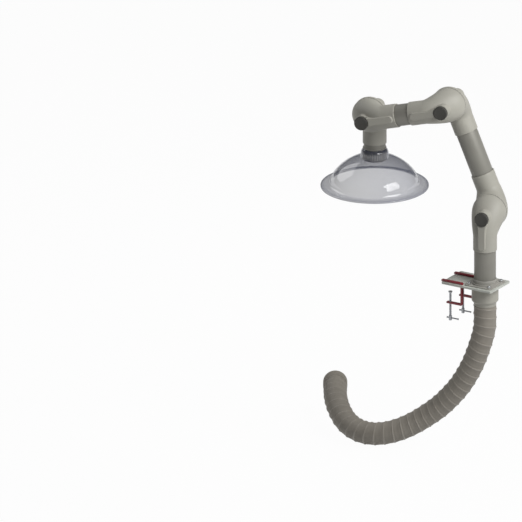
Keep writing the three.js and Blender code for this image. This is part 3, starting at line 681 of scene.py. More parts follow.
def clear_finish(name, tint):
    """Clear blown plastic: faint haze, hairline wipes and a glossy skin."""
    look = Finish(name)
    where = look.place()
    haze = look.spread(look.noise(where, scale=9, detail=3))
    wipe = look.noise(look.place(scale=(40, 40, 500)), scale=1, detail=3)
    lip = look.node("ShaderNodeAttribute", {"attribute_name": "lip_thickness"}, output="Fac")
    edge = look.node("ShaderNodeLayerWeight", None, {"Blend": 0.5}, output="Facing")
    skin = look.node("ShaderNodeBsdfPrincipled", None, {
        "Base Color": look.blend(haze, shade(tint, 0.94), shade(tint, 1.06)),
        "Roughness": 0.04 + wipe * 0.04,
        "Alpha": 0.26 + haze * 0.02 + edge * edge * 0.32 + lip * 0.2,
        "IOR": 1.5,
    })
    gloss = look.node("ShaderNodeBsdfAnisotropic", None, {"Color": (1, 1, 1, 1), "Roughness": 0.03})
    share = edge * edge * edge * edge * 0.25 + 0.028
    shader = look.node("ShaderNodeMixShader", None, {0: share, 1: skin, 2: gloss})
    return look.finished(shader)


FINISHES = {}


def finish(name):
    """A finish by its name; the first call makes them all."""
    if not FINISHES:
        make_finishes(bpy.context)
    return FINISHES[name]


def make_finishes(context):
    tints = context.scene.fume_arm_finishes
    arm = arm_of(context)
    FINISHES.update(
        moulding=moulded_finish("moulding_satin_grey", tints.moulding),
        flange=moulded_finish("flange_satin_grey", tints.flange, rough=0.36),
        knob=moulded_finish("knob_dark_grey", tints.knob, rough=0.5),
        # Painted shade: the seal's dark tone stands in for the shade in the joint's seam
        seal=moulded_finish("seal_dark_seam_shade", tints.seal, rough=0.7),
        rubber=moulded_finish("rubber_black", tints.rubber, rough=0.75),
        riser=tube_finish("riser_tube_coat", tints.tube, arm.down),
        lower_arm=tube_finish("lower_tube_coat", tints.tube, arm.along_lower),
        upper_arm=tube_finish("upper_tube_coat", tints.tube, arm.along_upper),
        hose=hose_finish("hose_brown_grey", tints.hose),
        cuff=moulded_finish("cuff_brown_grey", tints.hose, rough=0.6),
        clamp=painted_finish("clamp_red_paint", tints.clamp),
        plate=painted_finish("plate_pale_coat", tints.plate, rough=0.36),
        steel=metal_finish("spindle_steel", tints.steel, rough=0.3, brushed=(600, 600, 60)),
        bright=metal_finish("bolt_bright_steel", tints.bright, rough=0.16),
        clear=clear_finish("dome_clear_plastic", tints.clear),
        # Painted light: the nut's paler tint makes up for the shade under the dome's collar
        nut=moulded_finish("nut_grey_painted_lighter", tints.nut),
        gasket=moulded_finish("gasket_grey", tints.gasket, rough=0.7),
    )


# Smooth routes

def smooth_route(points, spacing, fineness=40):
    """Evenly spaced points on a smooth curve through the route, and the curve's length."""
    ends = [points[0] * 2 - points[1], *points, points[-1] * 2 - points[-2]]
    fine = []
    for a, b, c, d in zip(ends, ends[1:], ends[2:], ends[3:]):
        for step in range(fineness):
            t = step / fineness
            fine.append(0.5 * (2 * b + (c - a) * t + (2 * a - 5 * b + 4 * c - d) * t ** 2
                               + (3 * b - a - 3 * c + d) * t ** 3))
    fine.append(points[-1])
    reach = [0.0]
    for before, after in zip(fine, fine[1:]):
        reach.append(reach[-1] + (after - before).length)
    count = round(reach[-1] / spacing)
    even = []
    k = 0
    for i in range(count + 1):
        goal = reach[-1] * i / count
        while k + 2 < len(reach) and reach[k + 1] < goal:
            k += 1
        share = (goal - reach[k]) / (reach[k + 1] - reach[k])
        even.append(fine[k].lerp(fine[k + 1], share))
    return even, reach[-1]


def carried_frames(points):
    """Across and up directions carried along the route without twisting."""
    aims = [(b - a).normalized() for a, b in zip(points, points[1:])]
    aims.append(aims[-1])
    across = aims[0].orthogonal().normalized()
    frames = []
    before = aims[0]
    for aim in aims:
        across = before.rotation_difference(aim) @ across
        across = (across - aim * across.dot(aim)).normalized()
        frames.append((across, aim.cross(across)))
        before = aim
    return frames


# Operators

class FUMEARM_OT_camera(bpy.types.Operator):
    """Sets the camera to the photograph's viewing angle"""
    bl_idname = "fume_arm.camera"
    bl_label = "Camera"

    stand_off = 6
    far_limit = 100

    def execute(self, context):
        stage = context.scene.fume_arm_stage
        swivel = Vector((context.scene.fume_arm_pose.riser_x, 0, context.scene.fume_arm_base.flange_top))
        lens = bpy.data.cameras.new("camera")
        lens.type = "ORTHO"
        lens.ortho_scale = stage.frame_width
        lens.clip_end = self.far_limit
        camera = bpy.data.objects.new("camera", lens)
        context.collection.objects.link(camera)
        turn = Matrix.Rotation(stage.azimuth, 3, "Z") @ Matrix.Rotation(math.pi / 2 - stage.elevation, 3, "X")
        right, up, back = turn.col
        middle = swivel + right * stage.frame_right + up * stage.frame_up
        camera.matrix_world = Matrix.Translation(middle + back * self.stand_off) @ turn.to_4x4()
        context.scene.camera = camera
        return {"FINISHED"}


class FUMEARM_OT_hose(bpy.types.Operator):
    """Lays the ribbed hose and its cuff"""
    bl_idname = "fume_arm.hose"
    bl_label = "Hose"

    sides = 48
    spacing = 0.0016
    bore_step = 8  # the smooth bore has a ring at every eighth place of the route
    sag = 0.0006  # how far the skin sinks half-way between two ribs
    # The cuff's lead-in and grip groove, as steps in from its radius and heights over its foot
    cuff_side = ((0.0012, FIT), (0, 0.0022), (0, 0.013), (0.0007, 0.0142), (0.0007, 0.0168), (0, 0.018))
    cuff_chamfer = 0.002

    def point(self, place, directions, side, radius):
        across, up = directions
        turn = side / self.sides * math.tau
        return place + (across * math.cos(turn) + up * math.sin(turn)) * radius

    def hose(self, sizes, route, reach):
        frames = carried_frames(route)
        turns = round(reach / sizes.pitch)
        last = len(route) - 1
        rings, heights = [], []
        for i, (middle, directions) in enumerate(zip(route, frames)):
            ring = []
            for side in range(self.sides):
                phase = (i / last * turns + side / self.sides) % 1
                away = min(phase, 1 - phase) * reach / turns / (sizes.rib_width / 2)
                rise = (1 + math.cos(math.pi * away)) / 2 if away < 1 else 0
                sag = min(self.sag * math.cos(phase * math.tau), 0)
                radius = sizes.radius + (sizes.crest - sizes.radius) * rise + sag
                ring.append(self.point(middle, directions, side, radius))
                heights.append(rise)
            rings.append(ring)
        for k in (*range(last, 0, -self.bore_step), 0):
            rings.append([self.point(route[k], frames[k], side, sizes.bore) for side in range(self.sides)])
        hose = skinned("ribbed_hose", rings, closed=True)
        attribute = hose.data.attributes.new("rib_height", "FLOAT", "POINT")
        heights += [0.0] * (len(hose.data.vertices) - len(heights))
        attribute.data.foreach_set("value", heights)
        return smooth(hose, degrees=60)

    def cuff(self, sizes):
        radius, end = sizes.cuff_radius, sizes.cuff_length
        cuff = turned("hose_cuff_sleeve", [
            (sizes.bore, FIT), *((radius - inward, height) for inward, height in self.cuff_side),
            (radius, end - self.cuff_chamfer), (radius - self.cuff_chamfer, end),
            (sizes.bore, end), (sizes.bore, FIT)])
        rounded(cuff, width=0.0004, segments=2)
        aim = CUFF_AIM.to_track_quat("Z", "Y").to_matrix().to_4x4()
        return smooth(moved(cuff, Matrix.Translation(Vector(HOSE_ROUTE[-1])) @ aim))

    def execute(self, context):
        sizes = context.scene.fume_arm_hose
        route, reach = smooth_route([Vector(point) for point in HOSE_ROUTE], self.spacing)
        hose = self.hose(sizes, route, reach)
        settle(hose, "bracket", "hose", "hose")
        cuff = self.cuff(sizes)
        settle(cuff, "bracket", "cuff", "hose_cuff")
        return {"FINISHED"}


class FUMEARM_OT_elbows(bpy.types.Operator):
    """Models the two halves of a joint and sets them at shoulder, elbow and wrist"""
    bl_idname = "fume_arm.elbows"
    bl_label = "Elbows"

    sides = 96
    bend_steps = 28
    rib_steps = 16
    past_mouth = 0.001  # how far the hollow reaches out of the rim and the socket
    ledge = 0.0001  # length of the step that the tube's end rests on
    bolt_hole = 0.0056
    knob_room = 0.0014
    cap_room = 0.0006
    cap_depth = 0.007
    past_face = 0.01

    def ellipse(self, inside, outside, half_width):
        middle = (inside + outside) / 2
        reach = outside - middle
        ring = []
        for i in range(self.sides):
            turn = i / self.sides * math.tau
            point = middle + reach * math.sin(turn)
            point.x = half_width * math.cos(turn)
            ring.append(point)
        return ring

    def disc(self, radius, height):
        return self.ellipse(Vector((0, -radius, height)), Vector((0, radius, height)), radius)

    def socket(self, sizes, radius, reach):
        return self.ellipse(
            Vector((0, -reach, sizes.offset - radius)), Vector((0, -reach, sizes.offset + radius)), radius)

    def bend(self, sizes, disc_radius, tube_radius):
        """Rings from the disc round to the socket; the outside of the bend is flattened."""
        crotch = -(sizes.disc_radius + sizes.crotch_radius)
        rise = sizes.offset - sizes.rim_height
        exponent = sizes.bend_power
        rings = []
        for step in range(self.bend_steps + 1):
            turn = step / self.bend_steps * math.pi / 2
            along, up = max(math.cos(turn), 0), math.sin(turn)
            inside = Vector((
                0, crotch + (-disc_radius - crotch) * along, sizes.rim_height + (rise - tube_radius) * up))
            outside = Vector((
                0,
                crotch + (disc_radius - crotch) * along ** exponent,
                sizes.rim_height + (rise + tube_radius) * up ** exponent,
            ))
            rings.append(self.ellipse(
                inside, outside, tube_radius + (disc_radius - tube_radius) * along ** exponent))
        return rings

    def rib_outline(self, sizes):
        """Teardrop that runs from the boss down the face of the socket."""
        half_width = sizes.rib_half_width
        tip = sizes.rib_reach - half_width
        side, end = [], []
        for step in range(self.rib_steps + 1):
            t = step / self.rib_steps
            x = sizes.boss_radius * (1 - t) ** 2 + half_width * (2 * t * (1 - t) + t ** 2)
            side.append((x, -sizes.rib_waist * (t * (1 - t) + t ** 2)))
            turn = -step / self.rib_steps * math.pi
            end.append((half_width * math.cos(turn), -tip + half_width * math.sin(turn)))
        return side + end + [(-x, y) for x, y in reversed(side)]

    def half(self, name, sizes, tube, boss_height, room):
        """One half of the joint; room is the cutter for what sits on its boss."""
        skin = skinned(name, [
            self.disc(sizes.disc_radius, sizes.seam),
            *self.bend(sizes, sizes.disc_radius, sizes.socket_radius),
            self.socket(sizes, sizes.socket_radius, sizes.socket_reach),
        ])
        bore = tube.radius + FIT
        throat = tube.radius - tube.wall
        stop = sizes.socket_reach - sizes.socket_depth
        hollow = skinned("hollow", [
            self.disc(sizes.disc_radius - sizes.rim_wall, -self.past_mouth),
            *self.bend(sizes, sizes.disc_radius - sizes.rim_wall, throat),
            self.socket(sizes, throat, stop),
            self.socket(sizes, bore, stop + self.ledge),
            self.socket(sizes, bore, sizes.socket_reach + self.past_mouth),
        ])
        cut(skin, drum("boss", sizes.boss_radius, sizes.boss_root, boss_height), "UNION")
        cut(skin, raised("rib", self.rib_outline(sizes), sizes.boss_root, sizes.back_boss), "UNION")
        cut(skin, hollow)
        cut(skin, drum("bolt_hole", self.bolt_hole, sizes.boss_root, sizes.knob_face, sides=32))
        cut(skin, room)
        apply_modifier(skin, "REMESH", mode="VOXEL", voxel_size=sizes.voxel, adaptivity=0)
        apply_modifier(skin, "SMOOTH", factor=0.5, iterations=5)
        make_active(skin)
        bpy.ops.object.shade_smooth()
        return skin

    def execute(self, context):
        sizes = context.scene.fume_arm_elbow
        tube = context.scene.fume_arm_tube
        above = sizes.knob_face + self.past_face
        front = self.half("front_half", sizes, tube, sizes.front_boss, drum(
            "knob_room", sizes.knob_radius + self.knob_room, sizes.front_boss, above))
        back = self.half("back_half", sizes, tube, sizes.back_boss, drum(
            "cap_room", sizes.cap_radius + self.cap_room, sizes.back_boss - self.cap_depth, above))
        for name, front_place, back_place, front_body, back_body in arm_of(context).joints():
            settle(copied(front, f"{name}_front_half", front_place), front_body,
                   "moulding", f"{name}_front_elbow")
            settle(copied(back, f"{name}_back_half", back_place), back_body,
                   "moulding", f"{name}_back_elbow")
        remove(front, back)
        return {"FINISHED"}


class FUMEARM_OT_joint_fittings(bpy.types.Operator):
    """Models the seals, washers, knobs and caps of the joints"""
    bl_idname = "fume_arm.joint_fittings"
    bl_label = "Joint fittings"

    washer_bore = 0.0054
    washer_radius = 0.022
    washer_thickness = 0.002
    knob_lift = 0.0026
    knob_bore = 0.0055
    knob_chamfer = 0.001
    # The knob's rounded edge and dished face, as steps in from its radius and down from its face
    knob_edge = ((0, 0.0018), (0.0006, 0.0008), (0.002, 0), (0.0035, 0), (0.0042, 0.0005))
    knob_dish = 0.0005
    knob_roof = 0.004
    cap_height = 0.0067
    cap_chamfer = 0.0015
    cap_flat = 0.006

    def seal(self, sizes):
        outer, half = sizes.seal_outer, sizes.seal_half
        profile = ring_profile(outer - sizes.seal_width, outer, -half, half)
        return smooth(rounded(turned("seal", profile, steps=128), width=0.0005))

    def knob(self, sizes):
        foot = sizes.front_boss + self.knob_lift
        radius, face, bore = sizes.knob_radius, sizes.knob_face, self.knob_bore
        roof = face - self.knob_roof
        knob = turned("knob", [
            (bore, foot), (radius - self.knob_chamfer, foot), (radius, foot + self.knob_chamfer),
            *((radius - inward, face - down) for inward, down in self.knob_edge),
            (0, face - self.knob_dish), (0, roof), (bore, roof), (bore, foot)], steps=128)
        return smooth(rounded(knob, width=0.0003, segments=2, degrees=25))

    def cap(self, sizes):
        radius, top, chamfer = sizes.cap_radius, sizes.back_boss, self.cap_chamfer
        foot = top - self.cap_height
        cap = turned("cap", [
            (0, foot), (radius, foot), (radius, top - chamfer), (radius - chamfer, top),
            (self.cap_flat, top), (0, top)])
        return smooth(rounded(cap, width=0.0005, degrees=25))

    def washer(self, sizes):
        foot = sizes.front_boss + FIT
        profile = ring_profile(self.washer_bore, self.washer_radius, foot, foot + self.washer_thickness)
        return smooth(rounded(turned("washer", profile), width=0.0004))

    def execute(self, context):
        sizes = context.scene.fume_arm_elbow
        seal, knob, cap, washer = self.seal(sizes), self.knob(sizes), self.cap(sizes), self.washer(sizes)
        for name, front_place, back_place, front_body, back_body in arm_of(context).joints():
            settle(copied(seal, f"{name}_seal", front_place), front_body,
                   "seal", f"{name}_seal_ring")
            settle(copied(washer, f"{name}_slip_washer", front_place), front_body,
                   "rubber", f"{name}_washer")
            settle(copied(knob, f"{name}_tension_knob", front_place), f"{name}_knob",
                   "knob", f"{name}_knob")
            settle(copied(cap, f"{name}_cap", back_place), back_body,
                   "moulding", f"{name}_bolt_cap")
            paint(f"{name}_tension_bolt", "steel")
        remove(seal, knob, cap, washer)
        return {"FINISHED"}


class FUMEARM_OT_tubes(bpy.types.Operator):
    """Models the riser, lower and upper tube"""
    bl_idname = "fume_arm.tubes"
    bl_label = "Tubes"

    def tube(self, name, sizes, start, end, place):
        profile = ring_profile(sizes.radius - sizes.wall, sizes.radius, start, end)
        piece = rounded(turned(name, profile, steps=128), width=0.0004, segments=2)
        return smooth(moved(piece, place))

    def execute(self, context):
        sizes = context.scene.fume_arm_tube
        elbow = context.scene.fume_arm_elbow
        pose = context.scene.fume_arm_pose
        start = elbow.socket_reach - elbow.socket_depth + FIT
        along_y = Matrix.Translation((0, 0, elbow.offset)) @ Matrix.Rotation(math.pi / 2, 4, "X")
        (_, shoulder_front, shoulder_back, _, _), (_, elbow_front, _, _, _), _ = arm_of(context).joints()
        riser_foot = pose.shoulder_height - context.scene.fume_arm_base.plate_thickness - FIT
        tubes = [
            ("riser", "riser_tube", riser_foot, shoulder_front),
            ("lower_arm", "lower_arm_tube", pose.lower_arm - start, shoulder_back),
            ("upper_arm", "upper_arm_tube", pose.upper_arm - start, elbow_front),
        ]
        for body, node, end, place in tubes:
            piece = self.tube(f"{body}_duct", sizes, start, end, place @ along_y)
            settle(piece, body, body, node)
        return {"FINISHED"}


class FUMEARM_OT_base(bpy.types.Operator):
    """Models the bracket plate, the swivel flange with its bush and bolts, and the hose adapter"""
    bl_idname = "fume_arm.base"
    bl_label = "Base"

    plate_cut = (-0.01, 0.02)  # heights that a cutter for the plate runs between
    flange_cut = (-0.01, 0.05)
    duct_hole = 0.0356
    slot_room = 0.0006
    hub_sink = 0.001
    bush_chamfer = (0.0012, 0.0015)  # inward and down
    bolt_sides = 48
    head_height = 0.006
    head_chamfer = 0.0008
    key_radius = 0.0034
    key_depth = 0.003
    key_above = 0.01
    cone_length = 0.008
    spigot_radius = 0.035
    spigot_bore = 0.031

    def bolt_places(self, sizes):
        half = sizes.bolt_pitch / 2
        return [Matrix.Translation((x * half, y * half, 0)) for x, y in ((-1, -1), (1, -1), (1, 1), (-1, 1))]

    def drill_bolt_holes(self, piece, sizes, reach):
        for place in self.bolt_places(sizes):
            cut(piece, moved(drum("hole", sizes.bolt_shank + LOOSE_FIT, *reach, sides=32), place))

    def plate(self, sizes, clamp):
        half = sizes.plate_width / 2
        outline = rounded_rectangle(-sizes.plate_back, -half, sizes.plate_front, half, sizes.plate_corner)
        plate = raised("plate", outline, 0, sizes.plate_thickness)
        cut(plate, drum("duct", self.duct_hole, *self.plate_cut))
        left = -clamp.web - clamp.strip_thickness - self.slot_room
        right = -clamp.web + self.slot_room
        slot_half = clamp.strip_width / 2 + self.slot_room
        for place in (clamp.front_place, clamp.rear_place):
            low, high = place - slot_half, place + slot_half
            slot = [(left, low), (right, low), (right, high), (left, high)]
            cut(plate, raised("slot", slot, *self.plate_cut))
        self.drill_bolt_holes(plate, sizes, self.plate_cut)
        return rounded(plate, width=0.0006, segments=2)

    def flange(self, sizes, foot):
        half = sizes.flange_side / 2
        outline = rounded_rectangle(-half, -half, half, half, sizes.flange_corner)
        flange = raised("flange", outline, foot, sizes.flange_top)
        hub_top = sizes.flange_top + sizes.hub_height
        cut(flange, drum("hub", sizes.hub_radius, foot + self.hub_sink, hub_top, sides=128), "UNION")
        cut(flange, drum("bush_hole", sizes.bush_radius + FIT, *self.flange_cut, sides=128))
        self.drill_bolt_holes(flange, sizes, self.flange_cut)
        return rounded(flange, width=0.0009)

    def bush(self, sizes, tube, foot):
        bore, radius, top = tube.radius + LOOSE_FIT, sizes.bush_radius, sizes.bush_top
        inward, down = self.bush_chamfer
        bush = turned("bush", [
            (bore, foot), (radius, foot), (radius, top - down), (radius - inward, top),
            (bore, top), (bore, foot)], steps=128)
        return rounded(bush, width=0.0004, segments=2)

    def bolt(self, sizes):
        """Cap bolt with a hexagon socket, turned half a side so that its corners miss the head's edges."""
        seat = sizes.flange_top + FIT
        top = seat + self.head_height
        shank, head, chamfer = sizes.bolt_shank, sizes.bolt_head, self.head_chamfer
        bolt = turned("bolt", [
            (0, 0), (shank, 0), (shank, seat), (head, seat),
            (head, top - chamfer), (head - chamfer, top), (0, top)], steps=self.bolt_sides)
        key = drum("hex_socket", self.key_radius, top - self.key_depth, top + self.key_above, sides=6)
        cut(bolt, moved(key, Matrix.Rotation(math.tau / self.bolt_sides / 2, 4, "Z")))
        return smooth(rounded(bolt, width=0.0002, segments=2))

    def adapter(self, sizes, hose):
        radius, shoulder, end = sizes.adapter_radius, sizes.adapter_shoulder, sizes.adapter_length
        cone, plate_top = -shoulder - self.cone_length, sizes.plate_thickness
        adapter = turned("adapter", [
            (hose.bore, -end), (hose.radius, -end), (hose.radius, cone), (radius, -shoulder), (radius, -FIT),
            (self.spigot_radius, -FIT), (self.spigot_radius, plate_top), (self.spigot_bore, plate_top),
            (self.spigot_bore, -shoulder), (hose.bore, cone), (hose.bore, -end)], steps=128)
        return rounded(adapter, width=0.0012)

    def execute(self, context):
        sizes = context.scene.fume_arm_base
        at_riser = Matrix.Translation((context.scene.fume_arm_pose.riser_x, 0, 0))
        foot = sizes.plate_thickness + FIT
        plate = self.plate(sizes, context.scene.fume_arm_clamp)
        settle(smooth(moved(plate, at_riser)), "bracket", "plate", "bracket_plate")
        flange = self.flange(sizes, foot)
        settle(smooth(moved(flange, at_riser)), "bracket", "flange", "swivel_flange")
        bush = self.bush(sizes, context.scene.fume_arm_tube, foot)
        settle(smooth(moved(bush, at_riser)), "bracket", "flange", "swivel_bush")
        bolt = self.bolt(sizes)
        for i, place in enumerate(self.bolt_places(sizes), start=1):
            twin = copied(bolt, f"cap_bolt_{i}", at_riser @ place)
            settle(twin, "bracket", "bright", f"flange_bolt_{i}")
        remove(bolt)
        adapter = self.adapter(sizes, context.scene.fume_arm_hose)
        settle(smooth(moved(adapter, at_riser)), "bracket", "moulding", "hose_adapter")
        return {"FINISHED"}


class FUMEARM_OT_clamps(bpy.types.Operator):
    """Models the red screw clamps with their spindles, pads and tommy bars"""
    bl_idname = "fume_arm.clamps"
    bl_label = "Clamps"

    strip_bend = 0.0045
    spindle_room = 0.0005
    below_jaw = 0.01
    foot_chamfer = 0.0008
    thread_depth = 0.0007
    # Heights over the foot of a turn: from root to crest, along the crest, and back to the root
    thread_rises = (0.0004, 0.0010, 0.0016, 0.0022)
    thread_gap = 0.001
    tip_radius = 0.0026
    tip_length = 0.0027
    cross_reach = 0.05
    pad_socket = (0.0031, 0.003)  # radius and depth
    pad_chamfer = (0.0015, 0.0022)  # inward and up
    bead_flat = 0.6  # share of the bead's radius that its end face takes
    bead_rises = (0.001, 0.0022, 0.003)  # where the bead is full, starts to narrow, and meets the bar

    def cross_hole(self, sizes):
        """Place of the tommy bar, across the spindle's foot."""
        middle = Matrix.Translation((0, 0, -(sizes.foot_top + sizes.spindle_end) / 2))
        return middle @ Matrix.Rotation(math.pi / 2, 4, "Y")

    def strip(self, sizes, plate_thickness):
        """A flat bar bent to the shape of the frame: upper jaw, web and lower jaw."""
        thickness, bend = sizes.strip_thickness, self.strip_bend
        top, bottom = plate_thickness + FIT + thickness, -sizes.depth
        inner_web = -sizes.web - thickness
        outline = [
            (-sizes.upper_end, top - thickness),
            (inner_web, top - thickness),
            (inner_web, bottom + thickness),
            (-sizes.lower_end, bottom + thickness),
            (-sizes.lower_end, bottom),
            *corner_arc(-sizes.web - bend, bottom + bend, bend, -math.pi / 2),
            *corner_arc(-sizes.web - bend, top - bend, bend, 0),
            (-sizes.upper_end, top),
        ]
        piece = raised("strip", outline, -sizes.strip_width / 2, sizes.strip_width / 2)
        moved(piece, Matrix.Rotation(math.pi / 2, 4, "X"))
        radius = sizes.spindle_radius + self.spindle_room
        hole = drum("hole", radius, bottom - self.below_jaw, bottom + thickness * 2, sides=32)
        cut(piece, moved(hole, Matrix.Translation((-sizes.spindle_place, 0, 0))))
        return smooth(rounded(piece, width=0.0007))

    def spindle(self, sizes):
        """Threaded rod with a plain foot, a cross hole and a pressed tip."""
        tip = -sizes.pad_top - sizes.pad_thickness
        crest, root = sizes.spindle_radius, sizes.spindle_radius - self.thread_depth
        foot, chamfer = sizes.foot_radius, self.foot_chamfer
        bottom, foot_top = -sizes.spindle_end, -sizes.foot_top
        profile = [
            (0, bottom), (foot - chamfer, bottom), (foot, bottom + chamfer),
            (foot, foot_top - chamfer), (foot - chamfer, foot_top), (root, foot_top),
        ]
        for k in range(int((tip - self.thread_gap - foot_top) / sizes.thread_pitch)):
            base = foot_top + k * sizes.thread_pitch
            profile += zip((root, crest, crest, root), (base + rise for rise in self.thread_rises))
        shoulder, end = tip - FIT, tip + self.tip_length
        profile += [(root, shoulder), (self.tip_radius, shoulder), (self.tip_radius, end), (0, end)]
        piece = turned("spindle", profile, steps=40)
        hole = drum("hole", sizes.bar_radius + FIT, -self.cross_reach, self.cross_reach, sides=32)
        return smooth(cut(piece, moved(hole, self.cross_hole(sizes))))

    def pad(self, sizes):
        radius, bottom, top = sizes.pad_radius, -sizes.pad_top - sizes.pad_thickness, -sizes.pad_top
        socket, depth = self.pad_socket
        inward, rise = self.pad_chamfer
        piece = turned("pad", [
            (socket, bottom), (radius - inward, bottom), (radius, bottom + rise), (radius, top), (0, top),
            (0, bottom + depth), (socket, bottom + depth), (socket, bottom)], steps=48)
        return smooth(rounded(piece, width=0.0003, segments=2))

    def bar(self, sizes):
        left, right = sizes.bar_shift - sizes.bar_length / 2, sizes.bar_shift + sizes.bar_length / 2
        bead, thin = sizes.bead_radius, sizes.bar_radius
        full, narrow, meets = self.bead_rises
        end = [(0, 0), (bead * self.bead_flat, 0), (bead, full), (bead, narrow), (thin, meets)]
        piece = turned("bar", [
            *((radius, left + along) for radius, along in end),
            *((radius, right - along) for radius, along in reversed(end))], steps=40)
        return smooth(moved(piece, self.cross_hole(sizes)), degrees=40)

    def execute(self, context):
        sizes = context.scene.fume_arm_clamp
        riser_x = context.scene.fume_arm_pose.riser_x
        strip = self.strip(sizes, context.scene.fume_arm_base.plate_thickness)
        spindle, pad, bar = self.spindle(sizes), self.pad(sizes), self.bar(sizes)
        moving = ((spindle, "screw", "clamp_spindle"), (pad, "pad", "clamp_pad"), (bar, "bar", "tommy_bar"))
        for name, place in (("front", sizes.front_place), ("rear", sizes.rear_place)):
            at_clamp = Matrix.Translation((riser_x, place, 0))
            at_screw = Matrix.Translation((riser_x - sizes.spindle_place, place, 0))
            settle(copied(strip, f"{name}_strip", at_clamp), "bracket",
                   "clamp", f"{name}_clamp_frame")
            for pattern, piece, node in moving:
                settle(copied(pattern, f"{name}_{piece}", at_screw), f"{name}_{node}",
                       "steel", f"{name}_{node}")
        remove(strip, spindle, pad, bar)
        return {"FINISHED"}


class FUMEARM_OT_hood(bpy.types.Operator):
    """Models the clear dome, its neck tube and fluted nut, and gives the gasket its finish"""
    bl_idname = "fume_arm.hood"
    bl_label = "Hood"

    arc_steps = 30
    curve_spacing = 0.0015
    # Where the brim turns up into the dome, as steps out from its inner edge and up from its face
    skirt = ((0.018, 0.0008), (0.009, 0.002), (0.003, 0.005), (-0.0006, 0.011), (-0.0036, 0.022))
    # The bulge of the neck, as steps from the collar's radius and height, and the rise to its last turn
    bulge = ((0.0016, -0.0125), (0.0006, -0.005), (-0.0008, 0.0005))
    bulge_rise = 0.0052
    lip = 0.003
    lip_turns = (0.0, 0.5, 1.0, 1.5)  # radians round the edge of the brim
    # The bead on the neck tube, as steps in from its radius and heights over its foot
    bead = ((0.0006, 0), (0, 0.0012), (0, 0.0028), (0.0006, 0.004))
    flute_depth = 0.0012
    flute_points = 8
    nut_sink = 0.002
    nut_lip_height = 0.004
    past_nut = 0.01

    def arc(self, sphere, centre, foot, neck):
        first, last = math.acos(foot / sphere), math.acos(neck / sphere)
        turns = [first + (last - first) * i / self.arc_steps for i in range(self.arc_steps + 1)]
        return [(sphere * math.cos(turn), sphere * math.sin(turn) - centre) for turn in turns]

    def curve(self, points):
        line, _ = smooth_route([Vector((radius, 0, height)) for radius, height in points], self.curve_spacing)
        return [(point.x, point.z) for point in line]

    def side(self, sizes, neck_radius, wall):
        """One skin of the dome, from the brim to the top of the neck, that far inside the outer skin."""
        arc = self.arc(
            sizes.dome_radius - wall, sizes.dome_centre, sizes.dome_foot - wall, sizes.neck_foot - wall)
        brim, low = sizes.brim_inner - wall, sizes.dome_wall - wall
        collar, height = sizes.collar_radius - wall, sizes.neck_height - sizes.collar_drop
        top = neck_radius + sizes.dome_wall - wall
        skirt = self.curve([*((brim + out, low + up) for out, up in self.skirt), arc[0]])
        neck = self.curve([
            arc[-1], *((collar + out, height + up) for out, up in self.bulge),
            ((collar + top) / 2, height + self.bulge_rise), (top, sizes.neck_height)])
        return skirt[:-1] + arc + neck[1:]

    def dome(self, sizes, neck_radius):
        wall, rim, lip = sizes.dome_wall, sizes.rim_radius, self.lip
        lip_arc = [
            (rim - lip + lip * math.cos(turn), wall - lip + lip * math.sin(turn)) for turn in self.lip_turns]
        piece = turned("dome", [
            (rim - wall, -lip), (rim, -lip), *lip_arc, *self.side(sizes, neck_radius, 0),
            *reversed(self.side(sizes, neck_radius, wall)), (rim - wall - lip, 0), (rim - wall, -lip),
        ], steps=160)
        thickness = piece.data.attributes.new("lip_thickness", "FLOAT", "POINT")
        thickness.data.foreach_set("value", [
            float(math.hypot(spot.co.x, spot.co.y) > rim - wall - lip) for spot in piece.data.vertices])
        return smooth(piece, degrees=40)

    def duct(self, sizes, tube, top):
        inner, outer, bottom = tube.radius - tube.wall, tube.radius, sizes.nut_bottom
        foot = sizes.neck_height + FIT
        bead = [(sizes.bead_radius - inward, foot + rise) for inward, rise in self.bead]
        duct = turned("hood_duct", [
            (inner, bottom), (outer, bottom), (outer, foot), *bead, (outer, bead[-1][1]), (outer, top),
            (inner, top), (inner, bottom)], steps=128)
        return rounded(duct, width=0.0003, segments=2)

    def nut(self, sizes, bore):
        flutes, bottom, top = sizes.nut_flutes, sizes.nut_bottom, sizes.nut_top
        points = flutes * self.flute_points
        outline = []
        for i in range(points):
            turn = i / points * math.tau
            radius = sizes.nut_radius - self.flute_depth * (0.5 - 0.5 * math.cos(turn * flutes))
            outline.append((radius * math.cos(turn), radius * math.sin(turn)))
        piece = raised("nut", outline, bottom + self.nut_sink, top)
        cut(piece, drum("lip", sizes.nut_lip, bottom, bottom + self.nut_lip_height, sides=128), "UNION")
        cut(piece, drum("bore", bore, bottom - self.past_nut, top + self.past_nut, sides=128))
        return smooth(rounded(piece, width=0.0004, segments=2, degrees=50))

    def execute(self, context):
        sizes = context.scene.fume_arm_hood
        tube = context.scene.fume_arm_tube
        elbow = context.scene.fume_arm_elbow
        at_hood = Matrix.Translation(arm_of(context).hood)
        dome = self.dome(sizes, tube.radius + FIT)
        settle(moved(dome, at_hood), "hood", "clear", "dome_hood")
        top = context.scene.fume_arm_pose.hood_drop - elbow.socket_reach + elbow.socket_depth - FIT
        duct = self.duct(sizes, tube, top)
        settle(smooth(moved(duct, at_hood)), "hood", "riser", "hood_neck_tube")
        nut = self.nut(sizes, tube.radius + LOOSE_FIT)
        settle(moved(nut, at_hood), "hood_nut", "nut", "hood_nut")
        paint("hood_gasket", "gasket")
        return {"FINISHED"}


